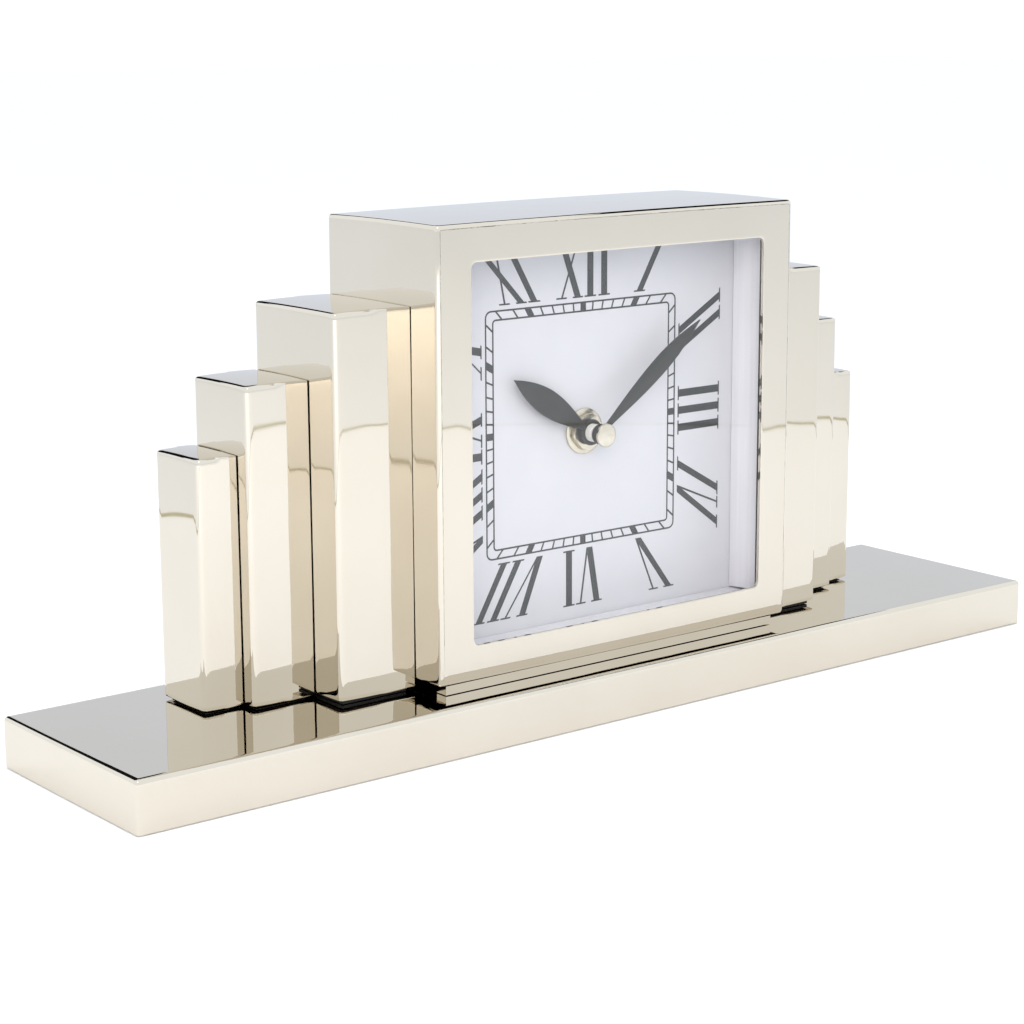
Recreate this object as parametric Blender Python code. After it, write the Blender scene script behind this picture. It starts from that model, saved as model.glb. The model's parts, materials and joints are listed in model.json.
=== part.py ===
"""A stepped mantel clock: a long base, a square case and three columns on each side.

Sizes are in millimetres and are turned into metres as each mesh is made. The origin is on the
table under the middle of the base, +X is to the right seen from the front, the dial faces -Y
and +Z is up.
"""

import math

import bmesh
import bpy

MM = 0.001
GAP = 0.3

# Base
BASE_X = 470.0
BASE_Y = 102.0
BASE_Z = 20.3
BASE_LIFT = 0.5
BASE_WALL = 1.5
BASE_EDGE = 1.75
BASE_TOP = BASE_LIFT + BASE_Z
PLATE_THICK = 1.5
FELT_THICK = 1.5
FELT_INSET = 3.0

# Case
CASE_X = 186.5
CASE_FRONT = -39.0
BACK = 33.3
CASE_GAP = 4.2
CASE_TOP = BASE_LIFT + 204.8
CASE_BOTTOM = BASE_TOP + CASE_GAP
CASE_WALL = 2.0
FRONT_WALL = 1.6
EDGE = 1.9
WINDOW_X = 154.0
WINDOW_BOTTOM = BASE_LIFT + 38.9
WINDOW_TOP = BASE_LIFT + 189.9
WINDOW_CORNER = 2.5
CASE_IN_X = CASE_X / 2 - CASE_WALL
CASE_IN_BOTTOM = CASE_BOTTOM + CASE_WALL
CASE_IN_TOP = CASE_TOP - CASE_WALL
CASE_IN_FRONT = CASE_FRONT + FRONT_WALL
POST = 9.0
COVER_THICK = 1.5
COVER_BACK = BACK - 0.3
COVER_FRONT = COVER_BACK - COVER_THICK
ACCESS = 76.0
ACCESS_CORNER = 6.0
COVER_SCREW_HEAD = 1.5
COVER_SCREW_HEAD_R = 3.2
COVER_SCREW_IN = 7.0

# Columns, from the case outwards: name, width, front face, gap under it, top
COLUMNS = (
    ("inner", 35.75, -22.0, 1.8, BASE_LIFT + 173.0),
    ("middle", 28.3, -4.5, 1.0, BASE_LIFT + 146.1),
    ("outer", 17.6, 2.4, 0.9, BASE_LIFT + 119.4),
)
COLUMN_WALL = 2.2
COLUMN_SEAM = 0.5
BOSS_R = 4.0
SCREW_R = 2.0
SCREW_HEAD_R = 3.6
SCREW_HEAD = 2.4
SCREW_IN = 10.0
PAD_INSET = 2.6
RISER_X = 176.0
RISER_FRONT = CASE_FRONT + 4.0
RISER_BACK = BACK - 4.0
CASE_SCREW_X = 50.0
SCREW_OVERSHOOT = 0.2

# Glass, gasket, lining and dial, from front to back
GLASS = (CASE_IN_FRONT + GAP, -34.4)
GLASS_X = 178.0
GLASS_Z = (30.0, 201.0)
GASKET = (-34.1, -31.6)
GASKET_OPEN = (160.0, WINDOW_BOTTOM - 1.0, WINDOW_TOP + 1.0)
LINER = (-31.3, -13.3)
LINER_WALL = 3.0
LINER_IN_X = 83.5
LINER_IN_Z = (BASE_LIFT + 33.7, BASE_LIFT + 195.1)
DIAL = (-13.0, -12.0)
DIAL_HOLE_R = 4.4

# Movement: depths from front to back; its axis is the hands' axis
AXIS_Z = BASE_LIFT + 112.8
MOVEMENT = 56.0
MOVEMENT_FRONT = -10.4
MOVEMENT_BACK = 4.3
MOVEMENT_WALL = 1.2
INSIDE = MOVEMENT / 2 - MOVEMENT_WALL
DIVIDER = (-11.9, -10.7)
COVER = (4.6, 5.8)
GASKET_RING = (-11.7, -10.7)
GASKET_RING_R = 8.0
WASHER = (-14.3, -13.3)
WASHER_R = 9.5
NUT = (-16.8, -14.6)
NUT_FLATS = 14.0
NUT_TURN = 0.2
BUSH_R = 4.0
BUSH_FRONT = -17.6
BUSH_BORE = 2.8
HOUR_TUBE_R = 2.5
HOUR_TUBE_BORE = 1.8
ARBOR_R = 1.5
HOUR_TUBE_FRONT = -21.6
ARBOR_FRONT = -26.4

# Battery, an AA cell
CELL_R = 7.15
CELL_LENGTH = 48.8
NUB_R = 2.75
NUB_LENGTH = 1.0
CELL_Z = -19.35
CELL_Y = -1.6
CONTACT_THICK = 0.5
CONTACT_HALF = 5.0
DIMPLE = 0.4
DIMPLE_HALF = 1.6

# Hands
MINUTE_ANGLE = 52.2
HOUR_ANGLE = 302.4
HOUR_BLADE = (-18.9, -18.2)
HOUR_HUB_R = 5.4
HOUR_COLLET_R = 3.7
HOUR_COLLET_FRONT = -22.2
MINUTE_BLADE = (-24.3, -23.6)
MINUTE_HUB_R = 4.2
CAP = (-28.6, -26.9)
CAP_R = 4.9
CAP_NECK_R = 2.5

# Gears: teeth and module of each pair, driver first
MOTION_MODULE = 0.6
TRAIN_MODULE = 0.3
CANNON_TEETH = 10
MINUTE_WHEEL_TEETH = 30
MOTION_PINION_TEETH = 8
HOUR_WHEEL_TEETH = 32
PINION_TEETH = 8
FIFTH_TEETH = 40
FOURTH_TEETH = 48
THIRD_TEETH = 60
CENTRE_TEETH = 64
TRAIN_ARBOR_R = 0.5
ARBOR_ENDS = (-8.9, 4.2)
CENTRE_DEPTH = (-4.8, -4.2)
CENTRE_HUB = (-5.8, -3.6)
CENTRE_HUB_R = 3.0
THIRD_DEPTH = (-3.2, -2.6)
THIRD_PINION = (-5.1, -3.9)
FOURTH_DEPTH = (-1.4, -0.8)
FOURTH_PINION = (-3.5, -2.3)
FIFTH_DEPTH = (0.4, 1.0)
FIFTH_PINION = (-1.7, -0.5)
MAGNET = (-2.8, -0.8)
ROTOR_PINION = (0.1, 1.3)

# Where each arbor stands, seen from the front and measured from the hands' axis
MOTION_SIDE = 0.0
THIRD_SIDE = 150.0
FOURTH_SIDE = 80.0
FIFTH_SIDE = -10.0
ROTOR_SIDE = 20.0
MAGNET_R = 3.0
STATOR = (-2.2, -1.4)
STATOR_BOX = (2.6, 25.4, 4.6, 21.3)
STATOR_WINDOW = (5.6, 22.4, 8.2, 12.4)
COIL_BOX = (8.0, 20.0, 2.2, 11.0)
BOARD_BOX = (-25.8, -12.5, -9.6, 6.0)
BOARD = (-8.6, -7.8)
CHIP = 5.0
CHIP_HEIGHT = 1.3
CAN_R = 1.4
CAN_HEIGHT = 4.5


def clear_scene():
    for obj in list(bpy.data.objects):
        bpy.data.objects.remove(obj, do_unlink=True)


def material(name, colour, roughness, metallic):
    made = bpy.data.materials.new(name)
    made.use_nodes = True
    shader = made.node_tree.nodes["Principled BSDF"]
    shader.inputs["Base Color"].default_value = (*colour, 1.0)
    shader.inputs["Roughness"].default_value = roughness
    shader.inputs["Metallic"].default_value = metallic
    return made


def new_object(name, mesh_data, look, parent, smooth_angle):
    mesh = bpy.data.meshes.new(name)
    mesh_data.to_mesh(mesh)
    mesh_data.free()
    obj = bpy.data.objects.new(name, mesh)
    bpy.context.scene.collection.objects.link(obj)
    obj.parent = parent
    if look:
        mesh.materials.append(look)
    if smooth_angle:
        mesh.shade_smooth()
        mesh.set_sharp_from_angle(angle=math.radians(smooth_angle))
    return obj


def prism(name, outline, depth, look=None, parent=None, smooth_angle=0.0):
    """An (x, z) outline in millimetres, drawn anticlockwise seen from the front, through depth."""
    front, back = depth
    bm = bmesh.new()
    front_ring = [bm.verts.new((x * MM, front * MM, z * MM)) for x, z in outline]
    back_ring = [bm.verts.new((x * MM, back * MM, z * MM)) for x, z in outline]
    bm.faces.new(front_ring)
    bm.faces.new(list(reversed(back_ring)))
    for i in range(len(outline)):
        j = (i + 1) % len(outline)
        bm.faces.new((front_ring[j], front_ring[i], back_ring[i], back_ring[j]))
    bmesh.ops.recalc_face_normals(bm, faces=bm.faces)
    return new_object(name, bm, look, parent, smooth_angle)


def rounded_outline(x_low, x_high, z_low, z_high, radius, steps=3):
    """A rectangle with round corners, anticlockwise."""
    points = []
    corners = ((x_high, z_low, -90), (x_high, z_high, 0), (x_low, z_high, 90), (x_low, z_low, 180))
    for x, z, start in corners:
        cx = x - math.copysign(radius, x - (x_low + x_high) / 2)
        cz = z - math.copysign(radius, z - (z_low + z_high) / 2)
        for step in range(steps + 1):
            angle = math.radians(start + 90 * step / steps)
            points.append((cx + radius * math.cos(angle), cz + radius * math.sin(angle)))
    return points


def circle(radius, sides, centre=(0.0, 0.0), turn=0.0):
    x, z = centre
    angles = [math.tau * i / sides + turn for i in range(sides)]
    return [(x + radius * math.cos(a), z + radius * math.sin(a)) for a in angles]


def rod(name, radius, depth, sides=24, centre=(0.0, 0.0), look=None, parent=None):
    return prism(name, circle(radius, sides, centre), depth, look, parent, 40)


def box(name, low, high, look=None, parent=None):
    """A plain block between two corners, in millimetres."""
    outline = ((low[0], low[2]), (high[0], low[2]), (high[0], high[2]), (low[0], high[2]))
    return prism(name, outline, (low[1], high[1]), look, parent)


def soft_box(name, low, high, radius, top_radius, look):
    """A block whose upright edges and top edges are rounded, and whose bottom edges are sharp."""
    bm = bmesh.new()
    bmesh.ops.create_cube(bm, size=1.0)
    for vert in bm.verts:
        vert.co = [(l + (h - l) * (c + 0.5)) * MM for l, h, c in zip(low, high, vert.co)]
    upright = [e for e in bm.edges if abs(e.verts[0].co.z - e.verts[1].co.z) > MM]
    bmesh.ops.bevel(bm, geom=upright, offset=radius * MM, segments=3, profile=0.5, affect="EDGES")
    level = high[2] * MM
    top = [e for e in bm.edges if all(abs(v.co.z - level) < 1e-6 for v in e.verts)]
    bmesh.ops.bevel(bm, geom=top, offset=top_radius * MM, segments=2, profile=0.5, affect="EDGES")
    return new_object(name, bm, look, None, 35)


def boolean(target, tool, operation):
    """Cuts tool out of target, or joins it on; the tool stays as a hidden wire shape."""
    tool.hide_render = True
    tool.display_type = "WIRE"
    modifier = target.modifiers.new(tool.name, "BOOLEAN")
    modifier.operation = operation
    modifier.solver = "EXACT"
    modifier.object = tool
    return target


def cut(target, *tools):
    for tool in tools:
        boolean(target, tool, "DIFFERENCE")
    return target


def join(target, *tools):
    for tool in tools:
        boolean(target, tool, "UNION")
    return target


def turned_up(name, profile, sides, look, location):
    """A closed (radius, z) profile turned about the upright axis; it starts and ends on the axis."""
    bm = bmesh.new()
    rings = []
    for radius, z in profile:
        if radius == 0:
            rings.append([bm.verts.new((0, 0, z * MM))])
            continue
        rings.append([bm.verts.new((x * MM, y * MM, z * MM)) for x, y in circle(radius, sides)])
    for lower, upper in zip(rings, rings[1:]):
        for i in range(sides):
            j = (i + 1) % sides
            corners = [lower[i % len(lower)], lower[j % len(lower)]]
            corners += [upper[j % len(upper)], upper[i % len(upper)]]
            bm.faces.new(list(dict.fromkeys(corners)))
    bmesh.ops.recalc_face_normals(bm, faces=bm.faces)
    obj = new_object(name, bm, look, None, 40)
    obj.location = [value * MM for value in location]
    return obj


def gear_outline(teeth, module, phase):
    """Plain tapered teeth, thinner than half the pitch so that meshed wheels run with backlash."""
    pitch = math.tau / teeth
    root = module * teeth / 2 - 1.2 * module
    tip = module * teeth / 2 + 0.8 * module
    corners = ((-0.27, root), (-0.11, tip), (0.11, tip), (0.27, root))
    points = []
    for tooth in range(teeth):
        for share, radius in corners:
            angle = phase + (tooth + share) * pitch
            points.append((radius * math.cos(angle), radius * math.sin(angle)))
    return points


def gear(name, teeth, module, phase, depth, look=None, parent=None):
    return prism(name, gear_outline(teeth, module, phase), depth, look, parent)


def centre_distance(first, second, module):
    return module * (first + second) / 2


def beside(point, distance, side):
    """The point at a distance from another, side degrees anticlockwise from +X seen from the front."""
    angle = math.radians(side)
    return (point[0] + distance * math.cos(angle), point[1] + distance * math.sin(angle))


def empty(name, location):
    made = bpy.data.objects.new(name, None)
    bpy.context.scene.collection.objects.link(made)
    made.location = [value * MM for value in location]
    return made


def arbor_empty(name, place):
    """An empty on a gear's own axis."""
    return empty(name, (place[0], 0.0, AXIS_Z + place[1]))


clear_scene()

NICKEL = material("polished_nickel", (0.68, 0.63, 0.56), 0.06, 1.0)
STEEL = material("zinc_steel", (0.55, 0.55, 0.54), 0.3, 1.0)
BLACK_METAL = material("black_lacquered_steel", (0.012, 0.012, 0.012), 0.25, 0.0)
BLACK_RUBBER = material("black_rubber", (0.015, 0.015, 0.015), 0.7, 0.0)
FELT = material("black_felt", (0.02, 0.02, 0.022), 0.95, 0.0)
CARD = material("white_card", (0.75, 0.77, 0.84), 0.6, 0.0)
GLASS_CLEAR = material("clear_glass", (0.95, 0.98, 0.97), 0.02, 0.0)
BRASS = material("brass", (0.6, 0.42, 0.18), 0.3, 1.0)
BLACK_PLASTIC = material("black_plastic", (0.02, 0.02, 0.02), 0.45, 0.0)
WHITE_PLASTIC = material("white_plastic", (0.78, 0.77, 0.73), 0.4, 0.0)
COPPER = material("enamelled_copper", (0.5, 0.18, 0.07), 0.35, 1.0)
BOARD_GREEN = material("green_laminate", (0.02, 0.12, 0.05), 0.5, 0.0)
CELL_WRAP = material("cell_wrap", (0.25, 0.27, 0.3), 0.35, 0.0)


# ---- base -------------------------------------------------------------------------------------

def make_base():
    half_x = BASE_X / 2
    half_y = BASE_Y / 2
    low = (-half_x, -half_y, BASE_LIFT)
    high = (half_x, half_y, BASE_TOP)
    shell = soft_box("base_shell", low, high, 2.0, BASE_EDGE, NICKEL)
    inner_x = half_x - BASE_WALL
    inner_y = half_y - BASE_WALL
    hollow = box("base_hollow", (-inner_x, -inner_y, -5.0), (inner_x, inner_y, BASE_TOP - BASE_WALL))
    cut(shell, hollow)
    plate_x = inner_x - GAP
    plate_y = inner_y - GAP
    plate_bottom = FELT_THICK + GAP
    plate_top = plate_bottom + PLATE_THICK
    box("base_plate", (-plate_x, -plate_y, plate_bottom), (plate_x, plate_y, plate_top), STEEL)
    felt_x = plate_x - FELT_INSET
    felt_y = plate_y - FELT_INSET
    box("base_felt", (-felt_x, -felt_y, 0.0), (felt_x, felt_y, FELT_THICK), FELT)
    return shell


def upright_hole(name, x, y, z_low, z_high, radius):
    """An upright cutter, for a screw."""
    profile = ((0, z_low), (radius, z_low), (radius, z_high), (0, z_high))
    return turned_up(name, profile, 16, None, (x, y, 0.0))


def screw_up(name, x, y, seat, bite):
    """A pan-head screw driven upwards: its head bears on the base from below."""
    head_top = seat - GAP
    head_bottom = head_top - SCREW_HEAD
    shank = SCREW_R - GAP
    profile = (
        (0, head_bottom),
        (SCREW_HEAD_R * 0.75, head_bottom),
        (SCREW_HEAD_R, head_bottom + SCREW_HEAD * 0.6),
        (SCREW_HEAD_R, head_top),
        (shank, head_top),
        (shank, bite),
        (0, bite + shank),
    )
    turned_up(name, profile, 12, STEEL, (x, y, 0.0))


# ---- columns ----------------------------------------------------------------------------------

def make_column(side_name, side, shell, near, spec):
    label, width, front, gap, top = spec
    name = f"column_{side_name}_{label}"
    x_near = side * (near + COLUMN_SEAM / 2)
    x_far = side * (near + width - COLUMN_SEAM / 2)
    if label == "outer":
        x_far = side * (near + width)
    x_low, x_high = sorted((x_near, x_far))
    bottom = BASE_TOP + gap
    column = soft_box(name, (x_low, front, bottom), (x_high, BACK, top), EDGE, 1.0, NICKEL)
    wall = COLUMN_WALL
    hollow = box(
        name + "_hollow",
        (x_low + wall, front + wall, bottom - 5.0),
        (x_high - wall, BACK - wall, top - wall),
    )
    x = (x_low + x_high) / 2
    y = (front + BACK) / 2
    # The boss is left standing inside the hollow, so that the column stays one casting.
    cut(hollow, upright_hole(name + "_boss", x, y, bottom, top, BOSS_R))
    bite = bottom + SCREW_IN
    cut(column, hollow, upright_hole(name + "_tapping", x, y, bottom - 1.0, bite + 2.0, SCREW_R))
    pad_low = (x_low + PAD_INSET, front + PAD_INSET, BASE_TOP + GAP)
    pad_high = (x_high - PAD_INSET, BACK - PAD_INSET, bottom - GAP)
    pad = box(f"pad_{side_name}_{label}", pad_low, pad_high, BLACK_RUBBER)
    cut(pad, upright_hole(name + "_pad_hole", x, y, BASE_TOP - 1.0, bottom + 1.0, SCREW_R))
    cut(shell, upright_hole(name + "_base_hole", x, y, BASE_TOP - 4.0, BASE_TOP + 2.0, SCREW_R))
    screw_up(f"screw_{side_name}_{label}", x, y, BASE_TOP - BASE_WALL, bite)
    return near + width


# ---- case -------------------------------------------------------------------------------------

def corner_posts():
    """(x, z) of the middle of each post inside the case's corners."""
    x = CASE_IN_X - POST / 2 + 1.0
    z_low = CASE_IN_BOTTOM + POST / 2 - 1.0
    z_high = CASE_IN_TOP - POST / 2 + 1.0
    return [(sx * x, z) for sx in (-1, 1) for z in (z_low, z_high)]


def make_case(shell):
    low = (-CASE_X / 2, CASE_FRONT, CASE_BOTTOM)
    high = (CASE_X / 2, BACK, CASE_TOP)
    case = soft_box("case_shell", low, high, EDGE, 1.0, NICKEL)
    hollow = box(
        "case_hollow",
        (-CASE_IN_X, CASE_IN_FRONT, CASE_IN_BOTTOM),
        (CASE_IN_X, BACK + 5.0, CASE_IN_TOP),
    )
    half = WINDOW_X / 2
    window = rounded_outline(-half, half, WINDOW_BOTTOM, WINDOW_TOP, WINDOW_CORNER)
    cut(case, hollow, prism("case_window", window, (CASE_FRONT - 5.0, CASE_IN_FRONT + 2.0)))
    for number, (x, z) in enumerate(corner_posts(), start=1):
        post_low = (x - POST / 2, DIAL[1] + GAP, z - POST / 2)
        post_high = (x + POST / 2, COVER_FRONT - GAP, z + POST / 2)
        join(case, box(f"case_post_{number}", post_low, post_high))
        tapping = (COVER_FRONT - GAP - 9.0, COVER_FRONT + 2.0)
        cut(case, rod(f"case_tapping_{number}", SCREW_R, tapping, 12, (x, z)))
    riser_low = (-RISER_X / 2, RISER_FRONT, BASE_TOP + GAP)
    riser_high = (RISER_X / 2, RISER_BACK, CASE_BOTTOM - GAP)
    riser = box("case_riser", riser_low, riser_high, NICKEL)
    y = (RISER_FRONT + RISER_BACK) / 2
    hole_top = CASE_IN_BOTTOM + 1.0
    for number, x in enumerate((-CASE_SCREW_X, CASE_SCREW_X), start=1):
        case_hole = upright_hole(f"case_base_hole_{number}", x, y, CASE_BOTTOM - 1.0, hole_top, SCREW_R)
        cut(case, case_hole)
        cut(riser, upright_hole(f"riser_hole_{number}", x, y, BASE_TOP - 1.0, hole_top, SCREW_R))
        shell_hole = upright_hole(
            f"case_shell_hole_{number}", x, y, BASE_TOP - 4.0, BASE_TOP + 2.0, SCREW_R
        )
        cut(shell, shell_hole)
        seat = BASE_TOP - BASE_WALL
        screw_up(f"case_screw_{number}", x, y, seat, CASE_IN_BOTTOM + SCREW_OVERSHOOT)


def make_back_cover():
    cover_low = (-CASE_IN_X + GAP, COVER_FRONT, CASE_IN_BOTTOM + GAP)
    cover_high = (CASE_IN_X - GAP, COVER_BACK, CASE_IN_TOP - GAP)
    cover = box("back_cover", cover_low, cover_high, BLACK_METAL)
    half = ACCESS / 2
    access = rounded_outline(-half, half, AXIS_Z - half, AXIS_Z + half, ACCESS_CORNER)
    cut(cover, prism("access_cut", access, (COVER_FRONT - 3.0, COVER_BACK + 3.0)))
    head = (COVER_BACK + GAP, COVER_BACK + GAP + COVER_SCREW_HEAD)
    shank_front = COVER_FRONT - GAP - COVER_SCREW_IN
    for number, (x, z) in enumerate(corner_posts(), start=1):
        through = (COVER_FRONT - 3.0, COVER_BACK + 3.0)
        cut(cover, rod(f"cover_hole_{number}", SCREW_R, through, 12, (x, z)))
        screw = rod(f"cover_screw_{number}", COVER_SCREW_HEAD_R, head, 12, (x, z), STEEL)
        shank = (shank_front, head[0] + 0.5)
        join(screw, rod(f"cover_shank_{number}", SCREW_R - GAP, shank, 12, (x, z)))
        slot_low = (x - 2.4, head[1] - 0.6, z - 0.4)
        slot_high = (x + 2.4, head[1] + 1.0, z + 0.4)
        cut(screw, box(f"cover_slot_{number}", slot_low, slot_high))


def make_glazing():
    half = GLASS_X / 2
    box("glass_pane", (-half, GLASS[0], GLASS_Z[0]), (half, GLASS[1], GLASS_Z[1]), GLASS_CLEAR)
    gasket = box(
        "glass_gasket", (-half, GASKET[0], GLASS_Z[0]), (half, GASKET[1], GLASS_Z[1]), BLACK_RUBBER
    )
    open_x = GASKET_OPEN[0] / 2
    hole = rounded_outline(-open_x, open_x, GASKET_OPEN[1], GASKET_OPEN[2], WINDOW_CORNER)
    cut(gasket, prism("gasket_cut", hole, (GASKET[0] - 2.0, GASKET[1] + 2.0)))


def make_liners():
    low_z, high_z = LINER_IN_Z
    outer_x = LINER_IN_X + LINER_WALL
    front, back = LINER
    for name, z0, z1 in (
        ("liner_bottom", low_z - LINER_WALL, low_z),
        ("liner_top", high_z, high_z + LINER_WALL),
    ):
        box(name, (-outer_x, front, z0), (outer_x, back, z1), CARD)
    side_low = low_z + GAP
    side_high = high_z - GAP
    box("liner_left", (-outer_x, front, side_low), (-LINER_IN_X, back, side_high), CARD)
    box("liner_right", (LINER_IN_X, front, side_low), (outer_x, back, side_high), CARD)


def make_dial():
    half = CASE_IN_X - GAP
    low = (-half, DIAL[0], CASE_IN_BOTTOM + GAP)
    high = (half, DIAL[1], CASE_IN_TOP - GAP)
    dial = box("dial_plate", low, high, CARD)
    through = (DIAL[0] - 2.0, DIAL[1] + 2.0)
    cut(dial, rod("dial_cut", DIAL_HOLE_R, through, 24, (0.0, AXIS_Z)))


# ---- movement ---------------------------------------------------------------------------------

def make_housing(axis):
    half = MOVEMENT / 2
    outline = rounded_outline(-half, half, -half, half, 2.0)
    housing = prism(
        "movement_housing", outline, (MOVEMENT_FRONT, MOVEMENT_BACK), BLACK_PLASTIC, axis, 35
    )
    inner_front = MOVEMENT_FRONT + MOVEMENT_WALL
    join(housing, rod("bush", BUSH_R, (BUSH_FRONT, inner_front - 0.2), 24, parent=axis))
    gear_room = box(
        "gear_room", (-INSIDE, inner_front, DIVIDER[1]), (INSIDE, 20.0, INSIDE), None, axis
    )
    cell_room = box(
        "cell_room", (-INSIDE, inner_front, -INSIDE), (INSIDE, 20.0, DIVIDER[0]), None, axis
    )
    bore = rod("bush_bore", BUSH_BORE, (BUSH_FRONT - 2.0, inner_front + 2.0), 24, parent=axis)
    cut(housing, gear_room, cell_room, bore)


def make_movement_cover(axis, knob_place):
    half = MOVEMENT / 2 - GAP
    outline = ((-half, DIVIDER[1]), (half, DIVIDER[1]), (half, half), (-half, half))
    cover = prism("movement_cover", outline, COVER, WHITE_PLASTIC, axis)
    cut(cover, rod("knob_hole", ARBOR_R + GAP, (COVER[0] - 2, COVER[1] + 2), 16, knob_place, parent=axis))


def make_cell(axis):
    """An AA cell lying left to right, its nub towards +X."""
    total = CELL_LENGTH + NUB_LENGTH
    start = -total / 2
    profile = (
        (0, 0),
        (CELL_R - 0.6, 0),
        (CELL_R, 0.6),
        (CELL_R, CELL_LENGTH - 0.6),
        (CELL_R - 0.6, CELL_LENGTH),
        (NUB_R, CELL_LENGTH),
        (NUB_R, total),
        (0, total),
    )
    cell = turned_up("battery", profile, 24, CELL_WRAP, (start, CELL_Y, CELL_Z))
    cell.rotation_euler.y = math.radians(90)
    cell.parent = axis
    inner = INSIDE - GAP
    for name, side in (("contact_minus", -1), ("contact_plus", 1)):
        plate_x = sorted((side * inner, side * (inner - CONTACT_THICK)))
        dimple_x = sorted((side * (inner - CONTACT_THICK / 2), side * (inner - CONTACT_THICK - DIMPLE)))
        plate = contact_box(name, plate_x, CONTACT_HALF, BRASS, axis)
        join(plate, contact_box(name + "_dimple", dimple_x, DIMPLE_HALF, None, axis))


def contact_box(name, span_x, half, look, axis):
    """A block centred on the cell's axis, for a contact strip or the dimple pressed in it."""
    low = (span_x[0], CELL_Y - half, CELL_Z - half)
    high = (span_x[1], CELL_Y + half, CELL_Z + half)
    return box(name, low, high, look, axis)


def make_board(axis):
    """The circuit board, with its chip and its quartz can soldered on."""
    x0, x1, z0, z1 = BOARD_BOX
    board = box("circuit_board", (x0, BOARD[0], z0), (x1, BOARD[1], z1), BOARD_GREEN, axis)
    soldered = BOARD[1] - 0.1
    chip_low = (x0 + 2.0, soldered, z0 + 8.0)
    chip_high = (x0 + 2.0 + CHIP, soldered + CHIP_HEIGHT, z0 + 8.0 + CHIP)
    chip = box("chip", chip_low, chip_high, None, axis)
    can_depth = (soldered, soldered + CAN_HEIGHT)
    can = rod("quartz_can", CAN_R, can_depth, 16, (x0 + 9.5, z0 + 4.0), parent=axis)
    join(board, chip, can)


def make_motor(axis, rotor_place):
    """The stepping motor's stator ring and the coil wound round its lower bar."""
    x0, x1, z0, z1 = STATOR_BOX
    outline = ((x0, z0), (x1, z0), (x1, z1), (x0, z1))
    stator = prism("stator", outline, STATOR, STEEL, axis)
    wx0, wx1, wz0, wz1 = STATOR_WINDOW
    window = box("stator_window", (wx0, STATOR[0] - 2, wz0), (wx1, STATOR[1] + 2, wz1), None, axis)
    hole_depth = (STATOR[0] - 2.0, STATOR[1] + 2.0)
    cut(stator, window, rod("rotor_hole", MAGNET_R + 0.6, hole_depth, 24, rotor_place, parent=axis))
    cx0, cx1, cz0, cz1 = COIL_BOX
    middle = (STATOR[0] + STATOR[1]) / 2
    coil = box("coil", (cx0, middle - 2.4, cz0), (cx1, middle + 2.4, cz1), COPPER, axis)
    bore_low = (cx0 - 2.0, STATOR[0] - GAP, z0 - GAP)
    bore_high = (cx1 + 2.0, STATOR[1] + GAP, wz0 + GAP)
    cut(coil, box("coil_bore", bore_low, bore_high, None, axis))


def wheel_and_pinion(name, place, wheel, pinion, look):
    """A train arbor: wheel is (teeth, phase, depth), pinion is (phase, depth)."""
    parent = arbor_empty(name + "_axis", place)
    body = rod(name, TRAIN_ARBOR_R, ARBOR_ENDS, 10, look=look, parent=parent)
    teeth, phase, depth = wheel
    join(body, gear(name + "_wheel", teeth, TRAIN_MODULE, phase, depth, parent=parent))
    phase, depth = pinion
    join(body, gear(name + "_pinion", PINION_TEETH, TRAIN_MODULE, phase, depth, parent=parent))


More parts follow.
